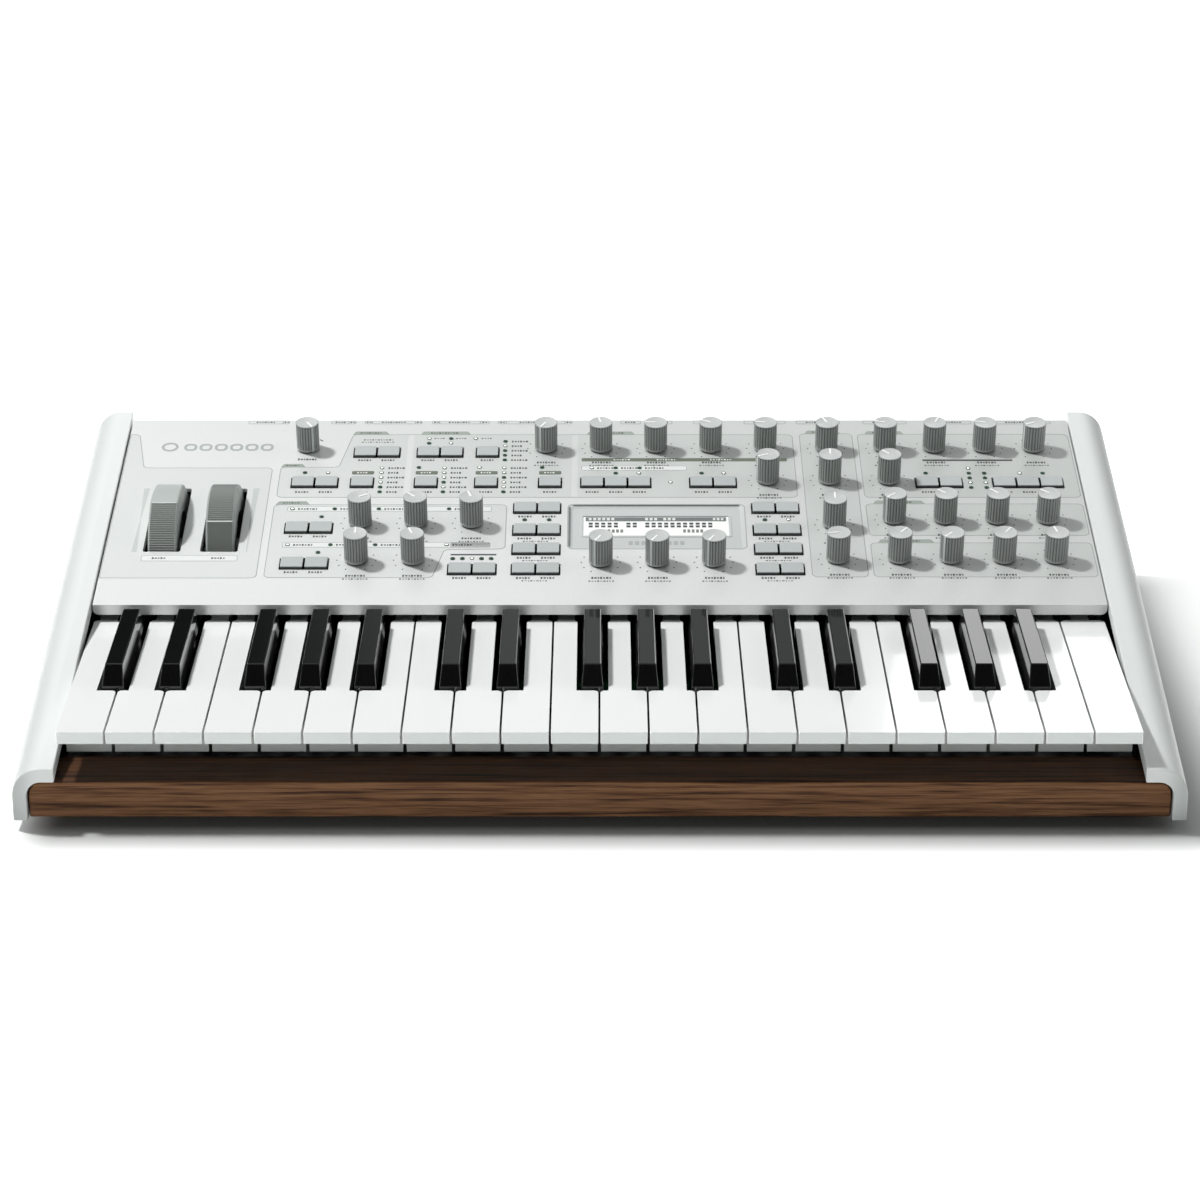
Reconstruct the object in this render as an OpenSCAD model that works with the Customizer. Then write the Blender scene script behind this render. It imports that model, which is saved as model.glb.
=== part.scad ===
// Compact keyboard synthesizer. Millimetres, +Z up, +Y to the back, +X to the player's right.
// Modules are drawn from a datum at the front edge of the white keys and the lower edge of the
// side panels. in_frame() then moves them so the origin is the middle of the footprint, at floor level.

/* [Case] */
// Overall width over the side panels
case_w = 561; // [557:1:566]
// Distance from the front of the white keys to the back of the side panels
case_back = 329; // [329:1:340]
// How far the side panels stand in front of the white keys
case_lead = 5; // [4:1:8]
// Height of the side panels at their front end
flange_front_z = 27; // [26:0.5:29]
// Thickness of the side panels
panel_t = 7; // [6:0.5:8]
// Outer corner radius of the side panels
corner_r = 14; // [12:1:16]
// Slope of the top panel and of the side panels' top flanges
slope = 11; // [11:1:12]
// Height of the rubber feet
foot_h = 5; // [4:1:10]

/* [Keyboard] */
// Distance from one white key to the next
key_pitch = 23.54; // [23.5:0.02:23.56]
// Gap between two white keys
key_gap = 1; // [0.8:0.1:1.2]
// Height of the white key tops
key_top_z = 44; // [43:0.5:45]
// Length of the white keys' playing surface
key_len = 140; // [138:1:140]
// Height of a black key above the white ones
black_rise = 10.5; // [9:0.5:11]
// Width of a black key at its base
black_w = 11; // [10:0.5:12]
// Distance of the key pivot behind the white key fronts
pivot_y = 182; // [182:1:183]

/* [Controls] */
// Diameter of a knob at its base
knob_d = 12.5; // [11:0.5:13]
// Height of a knob
knob_h = 16; // [14:0.5:18]
// Width of a push button's face
button_w = 11.6; // [11:0.1:12]
// Depth of a push button's face
button_d = 9.6; // [9:0.1:10]
// How far a push button stands above the panel
button_rise = 1.6; // [1.4:0.1:2]
// Radius of the pitch and modulation wheels
wheel_r = 36; // [34:0.5:36]
// Width of the pitch and modulation wheels
wheel_w = 15; // [14:0.1:15.4]

/* [Hidden] */
white_count = 22;
black_count = 15;
WHITE_NODES = [for (i = [1 : white_count]) str("white_key_", i < 10 ? "0" : "", i)];
BLACK_NODES = [for (i = [1 : black_count]) str("black_key_", i < 10 ? "0" : "", i)];
VALUE_NODES = ["value_knob_1", "value_knob_2", "value_knob_3"];

$fn = 48;
eps = 0.01;

// Case planes worked out from the driving dimensions
mid_y = (case_back - case_lead) / 2;
side_x = case_w / 2;
wall_x = side_x - panel_t;
flange_in = 260;
top_half_w = flange_in - 0.7;
top_t = 2;
top_len = 188;
top_front_y = 138.8;
top_front_z = flange_front_z + (top_front_y + case_lead) * tan(slope) - 2;
lip_drop = 6;
tray_front_y = 24.5;
tray_back_y = case_back - 7.5;
tray_z = 1.5;
tray_wall_top = 12;
sheet_t = 1.5;
rear_y = case_back - 7;
rear_t = 2;
socket_z = 50;

// Keyboard
key_left = -white_count * key_pitch / 2 - 0.3;
lip_h = 6;
skirt_y = 27.5;
skirt_z = 21.5;
notch_y = 50;
notch_half = 7.8;
shoulder_r = 2.5;
neck_r = 3;
front_r = 0.8;
black_front_y = 51.3;
black_back_y = 130;
black_under_z = 34;
tail_w = 9;
pivot_z = 37;
rod_r = 2;
// Where each black key sits about its white-key boundary, by note (C to B); undef where there is none
BLACK_OFFSET = [undef, -2.25, 2.25, undef, -3.4, 0, 3.4];
BLACK_BOUNDARY = [for (i = [1 : white_count - 2]) if (BLACK_OFFSET[i % 7] != undef) i];
RIB_BOUNDARY = [for (i = [1 : white_count - 1]) if (BLACK_OFFSET[i % 7] == undef) i];

// Controls on the top panel, as [across, up the slope]
knob_bore_r = 3.02;
knob_gap = 0.8;
shaft_r = 3;
shaft_hole_r = 3.5;
VOLUME_AT = [-160, 157];
CUTOFF_AT = [156, 157];
RESONANCE_AT = [183, 157];
VALUE_AT = [for (x = [0.4, 29.7, 59.2]) [x, 40.5]];
FIXED_KNOBS_AT = concat(
    [for (x = [-127, -97.5, -68]) [x, 79]],
    [for (x = [-127, -97.5]) [x, 42.5]],
    [for (x = [-29.5, 0.5, 30.5, 60.5, 90.5]) [x, 157]],
    [[90.5, 123]],
    [for (s = [157, 123, 77.5, 43.5]) [124, s]],
    [[156, 123], [210.5, 157], [237.5, 157]],
    [for (x = [156, 183, 210.5, 237.5], s = [82.5, 43.5]) [x, s]]);
TURNING_KNOBS_AT = concat([VOLUME_AT, CUTOFF_AT, RESONANCE_AT], VALUE_AT);

// Button rows, as [middle of the row, up the slope, how many side by side]
button_pitch = 12.7;
button_under = 4;
button_clear = 0.8;
BUTTON_ROWS = concat(
    [[-154, 120.5, 2], [-154, 74, 2], [-154, 39, 2], [-122, 152.5, 2], [-128.5, 120.5, 1]],
    [[-87.5, 152.5, 2], [-61.5, 152.5, 1], [-94, 120.5, 1], [-61.5, 120.5, 1], [-27, 120.5, 1]],
    [[-66.5, 33.5, 2], [8.5, 120.5, 3], [61, 120.5, 2], [183, 120.5, 2], [231, 120.5, 3]],
    [for (x = [-33.5, 93.5], s = [94, 72, 53, 33.5]) [x, s, 2]]);

// Indicator lights: columns as [across, top one, how many], and single ones
led_r = 1.2;
led_pitch = 5;
LED_COLUMNS = [[-118.5, 136, 6], [-84.5, 136, 6], [-52, 136, 6], [-52, 164.5, 5], [200, 135.5, 5],
               [208.3, 130.5, 4]];
LED_SINGLES = concat(
    [[-160, 131], [-147.5, 131], [-98.5, 136.5], [-65.5, 136.5], [-31.5, 136.5], [38, 121]],
    [for (x = [-94, -82]) [x, 162.5]],
    [for (x = [-94, -82, -68.5]) [x, 167.5]],
    [for (x = [-4.5, 8.5, 21.5]) [x, 136]],
    [for (x = [8.5, 21, 55, 67, 176.5, 227.5, 240]) [x, 130.5]],
    [for (x = [-164, -141.5, -118, -80.5], s = [93.5, 57.5]) [x, s]],
    [[-148, 85.5], [-147.5, 50]],
    [for (i = [0 : 4]) [-76.8 + i * led_pitch, 44]],
    [for (x = [-40, -27, 87.5, 100]) [x, 82.5]]);
LEDS_AT = concat([for (c = LED_COLUMNS, i = [0 : c[2] - 1]) [c[0], c[1] - i * led_pitch]], LED_SINGLES);

// Display
display_box = [[-17, 53.8], [77, 98.2]];
window_box = [[-9, 68.5], [68.4, 88]];
display_drop = 1.2;

// Wheels
WHEEL_X = [-229.5, -199.5];
wheel_s = 82.7;
wheel_drop = 20;
axle_r = 3;
slot_w = 19.8;
slot_len = 63.8;

// Boards under the top panel, as heights below its face
board_top = -9.9;
board_t = 1.6;
pot_w = 10;

// Connectors on the rear panel, by their place across
JACKS_X = [-205, -178, -156, -129, -107, -80, -58, -31, -9, 18, 40];
PHONO_X = [66, 84];
ROUND_SOCKETS_X = [112, 136, 160];
data_port_x = 188;
power_inlet_x = 214;
jack_bore_r = 3.25;
bush_r = 4.7;
din_bore_r = 6.75;
din_r = 8.2;
phono_r = 4.15;
phono_body_r = 5;
phono_flange_r = 6.2;
inlet_bore_r = 2.9;
inlet_r = 4.5;
port_w = 12;
port_h = 11;
SCREWS_X = [for (i = [-3 : 3]) i * 80];
SCREWS_Z = [8, 79];
screw_r = 1.5;

module in_frame() {
    translate([0, -mid_y, foot_h]) children();
}

// Puts its children on the top panel: X across, Y up the slope, Z square to the panel
module on_panel(at = [0, 0], h = 0) {
    translate([0, top_front_y, top_front_z]) rotate([slope, 0, 0]) translate([at[0], at[1], h]) children();
}

module rounded_rect(low, high, r) {
    translate([low[0] + r, low[1]]) square([high[0] - low[0] - 2 * r, high[1] - low[1]]);
    translate([low[0], low[1] + r]) square([high[0] - low[0], high[1] - low[1] - 2 * r]);
    for (x = [low[0] + r, high[0] - r], y = [low[1] + r, high[1] - r]) translate([x, y]) circle(r);
}

module box(low, high) {
    translate(low) cube(high - low);
}

module rod_x(r, x0, x1) {
    translate([x0, 0, 0]) rotate([0, 90, 0]) cylinder(r = r, h = x1 - x0);
}

module rod_y(r, y0, y1) {
    translate([0, y0, 0]) rotate([-90, 0, 0]) cylinder(r = r, h = y1 - y0);
}

// ---- Case ----

module base_tray() {
    color("dimgray") in_frame() difference() {
        union() {
            box([-wall_x + 0.5, tray_front_y, tray_z], [wall_x - 0.5, tray_back_y, tray_z + sheet_t]);
            box([-wall_x + 0.5, tray_front_y, tray_z], [wall_x - 0.5, tray_front_y + sheet_t, tray_wall_top]);
            box([-wall_x + 0.5, tray_back_y - sheet_t, tray_z], [wall_x - 0.5, tray_back_y, 14]);
            for (side = [-1, 1])
                box([side * (wall_x - 0.5 - sheet_t / 2) - sheet_t / 2, tray_front_y, tray_z],
                    [side * (wall_x - 0.5 - sheet_t / 2) + sheet_t / 2, tray_back_y, 14]);
        }
        for (x = SCREWS_X) translate([x, 0, SCREWS_Z[0]]) rod_y(screw_r + 0.2, tray_back_y - 3, tray_back_y + 1);
    }
}

// The right-hand panel is one thick bent sheet: an upright wall and a sloping flange
module side_shell() {
    intersection() {
        box([0, -case_lead, 0], [side_x + 1, case_back, 200]);
        translate([0, -case_lead, flange_front_z]) rotate([slope, 0, 0]) translate([0, 2 * case_back, 0])
            rotate([90, 0, 0]) linear_extrude(4 * case_back) side_section();
    }
}

module side_section() {
    translate([flange_in, -panel_t]) square([side_x - corner_r - flange_in, panel_t]);
    translate([wall_x, -150]) square([panel_t, 150 - corner_r]);
    translate([side_x - corner_r, -corner_r]) intersection() {
        difference() {
            circle(corner_r);
            circle(corner_r - panel_t);
        }
        square(corner_r);
    }
}

module side_panel_right() {
    color("whitesmoke") in_frame() side_shell();
}

module side_panel_left() {
    color("whitesmoke") in_frame() mirror([1, 0, 0]) side_shell();
}

module front_rail() {
    rail_top = flange_front_z - panel_t - 0.5;
    color("sienna") in_frame() translate([0, tray_front_y - 0.5, 0]) rotate([90, 0, 0])
        linear_extrude(tray_front_y + 2.5) rail_section(wall_x - 0.7, 1, rail_top);
    // Lip over the tray's front wall
    color("sienna") in_frame() box([-top_half_w, tray_front_y - 1, tray_wall_top + 0.5],
                                   [top_half_w, tray_front_y + 2.2, rail_top]);
}

module rail_section(half_w, z0, z1) {
    r = corner_r - panel_t;
    translate([-half_w, z0]) square([2 * half_w, z1 - z0 - r]);
    translate([-half_w + r, z0]) square([2 * (half_w - r), z1 - z0]);
    for (side = [-1, 1]) translate([side * (half_w - r), z1 - r]) circle(r);
}

module top_panel() {
    color("gainsboro") in_frame() difference() {
        union() {
            on_panel() box([-top_half_w, 0, -top_t], [top_half_w, top_len, 0]);
            on_panel([0, top_t]) rotate([90, 0, 0]) linear_extrude(top_t)
                rounded_rect([-top_half_w, -lip_drop], [top_half_w, -eps], 2.9);
            box([-255, rear_y - 1.8, 72], [255, rear_y - 0.3, top_front_z + 33.5]);
        }
        for (at = concat(FIXED_KNOBS_AT, TURNING_KNOBS_AT))
            on_panel(at, -top_t - 1) cylinder(r = shaft_hole_r, h = top_t + 2);
        for (at = LEDS_AT) on_panel(at, -top_t - 1) cylinder(r = led_r + 0.1, h = top_t + 2);
        for (row = BUTTON_ROWS) on_panel([row[0], row[1]]) button_opening(row[2]);
        for (x = WHEEL_X) on_panel([x, wheel_s], -top_t - 1) linear_extrude(top_t + 2)
            rounded_rect([-slot_w / 2, -slot_len / 2], [slot_w / 2, slot_len / 2], 1.5);
        on_panel([0, 0], -top_t - 1) linear_extrude(top_t + 2) rounded_rect(display_box[0], display_box[1], 3);
        for (x = SCREWS_X) translate([x, 0, SCREWS_Z[1]]) rod_y(screw_r + 0.2, rear_y - 3, rear_y + 1);
    }
}

module button_opening(count) {
    half_w = (count - 1) * button_pitch / 2 + button_w / 2 + button_clear;
    half_d = button_d / 2 + button_clear;
    box([-half_w, -half_d, -top_t - 1], [half_w, half_d, 1]);
}

module rear_panel() {
    color("gainsboro") in_frame() difference() {
        union() {
            box([-wall_x + 1, rear_y, tray_z], [wall_x - 1, rear_y + rear_t, 74]);
            box([-top_half_w, rear_y, 73], [top_half_w, rear_y + rear_t, 85]);
        }
        for (x = JACKS_X) translate([x, 0, socket_z]) rod_y(bush_r + 0.2, rear_y - 1, rear_y + 3);
        for (x = PHONO_X) translate([x, 0, socket_z]) rod_y(phono_body_r + 0.2, rear_y - 1, rear_y + 3);
        for (x = ROUND_SOCKETS_X) translate([x, 0, socket_z]) rod_y(din_r + 0.2, rear_y - 1, rear_y + 3);
        translate([power_inlet_x, 0, socket_z]) rod_y(inlet_r + 0.2, rear_y - 1, rear_y + 3);
        box([data_port_x - port_w / 2 - 0.3, rear_y - 1, socket_z - port_h / 2 - 0.3],
            [data_port_x + port_w / 2 + 0.3, rear_y + 3, socket_z + port_h / 2 + 0.3]);
        for (x = SCREWS_X, z = SCREWS_Z) translate([x, 0, z]) rod_y(screw_r + 0.2, rear_y - 1, rear_y + 3);
    }
}

// ---- Connectors, screws and feet ----

module rear_sockets() {
    color("silver") in_frame() translate([0, 0, socket_z]) {
        for (x = JACKS_X) translate([x, 0, 0]) jack_socket();
        for (x = PHONO_X) translate([x, 0, 0]) phono_socket();
        for (x = ROUND_SOCKETS_X) translate([x, 0, 0]) round_socket();
        translate([data_port_x, 0, 0]) data_port();
        translate([power_inlet_x, 0, 0]) power_inlet();
    }
}

module jack_socket() {
    difference() {
        union() {
            box([-7, rear_y - 26, -7], [7, rear_y - 0.3, 7]);
            rod_y(bush_r, rear_y - 1, rear_y + 6);
            translate([0, rear_y + rear_t, 0]) rotate([-90, 0, 0]) cylinder(r = 7, h = 2.4, $fn = 6);
        }
        rod_y(jack_bore_r, rear_y - 23, rear_y + 7);
    }
}

module phono_socket() {
    difference() {
        union() {
            box([-6, rear_y - 12, -6], [6, rear_y - 0.3, 6]);
            rod_y(phono_body_r, rear_y - 1, rear_y + rear_t + 0.4);
            rod_y(phono_flange_r, rear_y + rear_t, rear_y + rear_t + 0.8);
            rod_y(phono_r, rear_y + rear_t + 0.7, rear_y + 6.8);
        }
        rod_y(1.7, rear_y - 6, rear_y + 7);
    }
}

module round_socket() {
    difference() {
        union() {
            box([-10, rear_y - 14, -10], [10, rear_y - 0.3, 10]);
            rod_y(din_r, rear_y - 1, rear_y + rear_t + 1);
        }
        rod_y(din_bore_r, rear_y - 5, rear_y + rear_t + 2);
    }
}

module data_port() {
    difference() {
        box([-port_w / 2, rear_y - 12, -port_h / 2], [port_w / 2, rear_y + rear_t + 0.8, port_h / 2]);
        box([-4.3, rear_y - 8, -4], [4.3, rear_y + rear_t + 1, 4]);
    }
    box([-2.8, rear_y - 8 + eps, -1.6], [2.8, rear_y + 1, 1.6]);
}

module power_inlet() {
    difference() {
        union() {
            box([-6, rear_y - 12, -6], [6, rear_y - 0.3, 6]);
            rod_y(inlet_r, rear_y - 1, rear_y + rear_t + 1);
        }
        rod_y(inlet_bore_r, rear_y - 7, rear_y + rear_t + 2);
    }
    rod_y(1, rear_y - 8, rear_y + 1);
}

module housing_screws() {
    color("dimgray") in_frame() for (x = SCREWS_X, z = SCREWS_Z) translate([x, 0, z]) difference() {
        union() {
            rod_y(screw_r, rear_y - 5, rear_y + rear_t + 0.5);
            rod_y(2.9, rear_y + rear_t, rear_y + rear_t + 1.8);
        }
        for (a = [0, 90]) rotate([0, a, 0])
            box([-1.8, rear_y + rear_t + 0.6, -0.35], [1.8, rear_y + rear_t + 2, 0.35]);
    }
}

module rubber_feet() {
    color("black") in_frame() for (x = [-235, 235], y = [50, 300]) translate([x, y, -foot_h])
        cylinder(r1 = 8, r2 = 9, h = foot_h + tray_z);
}

// ---- Keyboard ----

function white_x(i) = key_left + (i - 1) * key_pitch;
function has_left(i) = i > 1 && BLACK_OFFSET[(i - 1) % 7] != undef;
function has_right(i) = i < white_count && BLACK_OFFSET[i % 7] != undef;
function neck_left(i) = has_left(i) ? BLACK_OFFSET[(i - 1) % 7] + notch_half : key_gap / 2;
function neck_right(i) = key_pitch + (has_right(i) ? BLACK_OFFSET[i % 7] - notch_half : -key_gap / 2);
function black_x(j) = key_left + BLACK_BOUNDARY[j - 1] * key_pitch + BLACK_OFFSET[BLACK_BOUNDARY[j - 1] % 7];

// The arm behind a key, with the bore that turns on the keybed's rod
module key_tail(x, y0) {
    difference() {
        union() {
            box([x - tail_w / 2, y0, pivot_z - 4.5], [x + tail_w / 2, pivot_y, pivot_z + 4.5]);
            translate([0, pivot_y, pivot_z]) rod_x(4.5, x - tail_w / 2, x + tail_w / 2);
        }
        translate([0, pivot_y, pivot_z]) rod_x(rod_r + 0.06, x - tail_w, x + tail_w);
    }
}

module white_key(i) {
    low = neck_left(i);
    high = neck_right(i);
    under = key_top_z - lip_h;
    color("white") in_frame() translate([white_x(i), 0, 0]) {
        difference() {
            union() {
                translate([0, 0, under]) linear_extrude(lip_h) {
                    rounded_rect([key_gap / 2, 0], [key_pitch - key_gap / 2, notch_y - 10], front_r);
                    rounded_rect([key_gap / 2, 5], [key_pitch - key_gap / 2, notch_y], shoulder_r);
                    rounded_rect([low, notch_y - 5], [high, key_len], neck_r);
                    translate([low, notch_y - 5]) square([high - low, 20]);
                }
                box([key_gap / 2 + 0.35, skirt_y, skirt_z],
                    [key_pitch - key_gap / 2 - 0.35, notch_y - 3, under + eps]);
                box([low + 0.5, notch_y - 4, under - 8], [high - 0.5, key_len - 6, under + eps]);
            }
            box([key_gap / 2 + 2.2, skirt_y + 1.8, skirt_z - 1],
                [key_pitch - key_gap / 2 - 2.2, notch_y - 5, under - 1]);
            box([low + 2.2, notch_y + 1, under - 9], [high - 2.2, key_len - 12, under - 1]);
        }
        key_tail((low + high) / 2, key_len - 8);
    }
}

module black_key(j) {
    top_z = key_top_z + black_rise;
    top_half = black_w / 2 - 1.25;
    color("black") in_frame() translate([black_x(j), 0, 0]) {
        difference() {
            intersection() {
                rotate([90, 0, 90]) translate([0, 0, -black_w]) linear_extrude(2 * black_w)
                    polygon([[black_front_y, black_under_z], [black_front_y, key_top_z + 1.5],
                             [black_front_y + 7.5, top_z], [black_back_y, top_z], [black_back_y, black_under_z]]);
                rotate([90, 0, 0]) translate([0, 0, -black_back_y - 1]) linear_extrude(black_back_y)
                    polygon([[-black_w / 2, black_under_z], [-black_w / 2, key_top_z], [-top_half, top_z],
                             [top_half, top_z], [black_w / 2, key_top_z], [black_w / 2, black_under_z]]);
            }
            box([-black_w / 2 + 1.8, black_front_y + 2, black_under_z - 1],
                [black_w / 2 - 1.8, black_back_y - 8, key_top_z - 1]);
        }
        key_tail(0, black_back_y - 4);
    }
}

// Plate on two long walls, upright brackets that stand on it, and the rod that the keys turn on
module keybed_frame() {
    reach = -key_left + 3;
    plate_z = 6;
    plate_top = plate_z + 2;
    color("darkgray") in_frame() {
        box([-reach, 30, plate_z], [reach, pivot_y + 5, plate_top]);
        for (y = [30, pivot_y + 3]) box([-reach, y, tray_z + sheet_t], [reach, y + 2, plate_z + 1]);
        for (x = concat([for (b = RIB_BOUNDARY) key_left + b * key_pitch], [-reach + 1.5, reach - 1.5]))
            translate([x, 0, 0]) rod_bracket(plate_top + 0.02);
        translate([0, pivot_y, pivot_z]) rod_x(rod_r, -reach, reach);
    }
}

module rod_bracket(low) {
    difference() {
        union() {
            box([-1.2, pivot_y - 5, low], [1.2, pivot_y + 4.5, pivot_z]);
            translate([0, pivot_y, pivot_z]) rod_x(4.5, -1.2, 1.2);
        }
        translate([0, pivot_y, pivot_z]) rod_x(rod_r + 0.02, -2, 2);
    }
}

// ---- Controls ----

// Cap with a blind bore, its lower edge just clear of the panel
module knob_cap() {
    difference() {
        translate([0, 0, knob_gap]) cylinder(d = knob_d, h = knob_h);
        translate([0, 0, -1]) cylinder(r = knob_bore_r, h = 12.1);
    }
}

module knob_shaft(low) {
    translate([0, 0, low]) cylinder(r = shaft_r, h = 11 - low);
}

module turning_knob(at) {
    color("slategray") in_frame() on_panel(at) {
        knob_cap();
        knob_shaft(board_top + 0.4);
    }
}

module fixed_knobs() {
    color("slategray") in_frame() for (at = FIXED_KNOBS_AT) on_panel(at) knob_cap();
}

module push_buttons() {
    color("silver") in_frame() for (row = BUTTON_ROWS, i = [0 : row[2] - 1])
        on_panel([row[0] + (i - (row[2] - 1) / 2) * button_pitch, row[1]])
            button_cap();
}

module button_cap() {
    translate([0, 0, -button_under]) linear_extrude(button_under + button_rise)
        rounded_rect([-button_w / 2, -button_d / 2], [button_w / 2, button_d / 2], 0.5);
}

module control_wheel(x) {
    color("slategray") in_frame() on_panel([x, wheel_s], -wheel_drop) difference() {
        union() {
            rod_x(wheel_r - 1, -wheel_w / 2, wheel_w / 2);
            rod_x(wheel_r, -wheel_w / 2 + 1, wheel_w / 2 - 1);
        }
        rod_x(axle_r + 0.06, -wheel_w, wheel_w);
        for (side = [-1, 1]) translate([side * (wheel_w / 2), 0, 0]) difference() {
            rod_x(wheel_r - 14, -3, 3);
            rod_x(axle_r + 4, -4, 4);
        }
    }
}

module wheel_bracket() {
    cheeks_x = [-240.2, -214.5, -188.8];
    color("darkgray") in_frame() on_panel() {
        difference() {
            union() {
                box([-250, 36, -4.2], [-186, 130, -2.3]);
                for (x = cheeks_x) box([x - 0.8, wheel_s - 12, -33], [x + 0.8, wheel_s + 12, -4]);
            }
            for (x = WHEEL_X) box([x - 9.6, 49, -5], [x + 9.6, 117, -1]);
            translate([0, wheel_s, -wheel_drop]) rod_x(axle_r + 0.02, -260, -180);
        }
        translate([0, wheel_s, -wheel_drop]) rod_x(axle_r, -243, -186);
    }
}

module display_module() {
    grow = 3;
    low = display_box[0];
    high = display_box[1];
    color("lightgray") in_frame() on_panel() {
        difference() {
            union() {
                translate([0, 0, -5]) linear_extrude(5 - display_drop)
                    rounded_rect(low + [0.2, 0.2], high - [0.2, 0.2], 2.8);
                translate([0, 0, -5]) linear_extrude(5 - top_t - 0.2)
                    rounded_rect(low - [grow, grow], high + [grow, grow], 3);
            }
            translate([0, 0, -6]) linear_extrude(7) translate(window_box[0]) square(window_box[1] - window_box[0]);
        }
        box(concat(window_box[0] + [0.1, 0.1], [-5]), concat(window_box[1] - [0.1, 0.1], [-display_drop - 0.4]));
        box(concat(window_box[0] - [4, 6], [-8.5]), concat(window_box[1] + [4, 6], [-5.2]));
    }
}

// ---- Electronics ----

module circuit_boards() {
    color("seagreen") in_frame() {
        on_panel() control_board();
        box([-180, 262, 5], [180, 313, 5 + board_t]);
        for (x = [-170, 0, 170], y = [267, 308]) translate([x, y, tray_z + sheet_t]) cylinder(r = 3, h = 2);
        for (x = [-120, -60, 20, 90], y = [285]) box([x, y, 5 + board_t], [x + 18, y + 18, 9]);
        box([key_left, 108, 10], [-key_left, 150, 10 + board_t]);
        for (x = [-240, -120, 0, 120, 240]) translate([x, 129, 8]) cylinder(r = 3, h = 2);
    }
}

module control_board() {
    box([-182, 8, board_top - board_t], [256, 177, board_top]);
    for (at = FIXED_KNOBS_AT) translate([at[0], at[1], 0]) {
        pot_body();
        knob_shaft(board_top);
    }
    for (at = TURNING_KNOBS_AT) translate([at[0], at[1], 0]) difference() {
        pot_body();
        translate([0, 0, board_top + eps]) cylinder(r = shaft_r + 0.06, h = 10);
    }
    for (row = BUTTON_ROWS, i = [0 : row[2] - 1])
        translate([row[0] + (i - (row[2] - 1) / 2) * button_pitch, row[1], 0])
            box([-3, -3, board_top], [3, 3, -button_under - 1.2]);
    for (at = LEDS_AT) translate([at[0], at[1], board_top]) cylinder(r = led_r, h = 0.4 - board_top);
}

module pot_body() {
    box([-pot_w / 2, -pot_w / 2, board_top], [pot_w / 2, pot_w / 2, -top_t - 1]);
}

base_tray();
top_panel();
side_panel_left();
side_panel_right();
front_rail();
rear_panel();
keybed_frame();
wheel_bracket();
display_module();
circuit_boards();
rear_sockets();
rubber_feet();
housing_screws();
fixed_knobs();
push_buttons();
control_wheel(WHEEL_X[0]);  // pitch_wheel
control_wheel(WHEEL_X[1]);  // mod_wheel
turning_knob(VOLUME_AT);  // volume_knob
turning_knob(CUTOFF_AT);  // cutoff_knob
turning_knob(RESONANCE_AT);  // resonance_knob
for (i = [0 : 2]) turning_knob(VALUE_AT[i]);
for (i = [1 : white_count]) white_key(i);
for (j = [1 : black_count]) black_key(j);
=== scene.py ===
"""The looks of a compact keyboard synthesizer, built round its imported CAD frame.

Lengths are in metres, in the frame's axes: X to the player's right, Y to the back, Z up, and the origin on
the floor under the middle of the body. Shapes and layout tables are in millimetres. A place on the sloping
top panel is (across, up the slope), and on_panel() turns it into a place in the frame.
"""

from math import cos, pi, radians, sin, tan

import bmesh
import bpy
from mathutils import Matrix, Vector


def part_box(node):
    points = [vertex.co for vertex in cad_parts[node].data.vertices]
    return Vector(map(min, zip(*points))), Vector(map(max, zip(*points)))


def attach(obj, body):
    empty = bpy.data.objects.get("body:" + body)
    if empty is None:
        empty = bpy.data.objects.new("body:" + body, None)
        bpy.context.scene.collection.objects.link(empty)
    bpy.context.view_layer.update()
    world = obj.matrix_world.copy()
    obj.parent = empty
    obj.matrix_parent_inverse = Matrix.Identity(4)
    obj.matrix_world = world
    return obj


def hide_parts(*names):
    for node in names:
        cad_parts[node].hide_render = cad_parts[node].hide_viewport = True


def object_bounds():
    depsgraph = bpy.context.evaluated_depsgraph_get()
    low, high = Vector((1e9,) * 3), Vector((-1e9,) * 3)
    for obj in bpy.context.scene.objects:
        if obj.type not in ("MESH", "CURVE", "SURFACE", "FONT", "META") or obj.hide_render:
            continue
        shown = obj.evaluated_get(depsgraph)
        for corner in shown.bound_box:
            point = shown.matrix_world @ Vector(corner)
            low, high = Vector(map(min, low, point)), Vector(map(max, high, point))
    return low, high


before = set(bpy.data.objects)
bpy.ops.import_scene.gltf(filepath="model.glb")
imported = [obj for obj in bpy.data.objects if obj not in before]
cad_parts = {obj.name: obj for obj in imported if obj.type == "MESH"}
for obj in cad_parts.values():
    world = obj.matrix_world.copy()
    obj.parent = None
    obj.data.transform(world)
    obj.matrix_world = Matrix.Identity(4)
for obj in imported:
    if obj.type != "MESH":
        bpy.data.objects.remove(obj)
cad_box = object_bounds()

MM = 0.001
CASE = "case"

# ---- The camera and the light ----

CAMERA_PLACE = (0.0, -1.6669, 0.7261)
CAMERA_TILT = radians(67.96)
CAMERA_LENS = 104.2
CAMERA_SENSOR = 36.0
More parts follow.
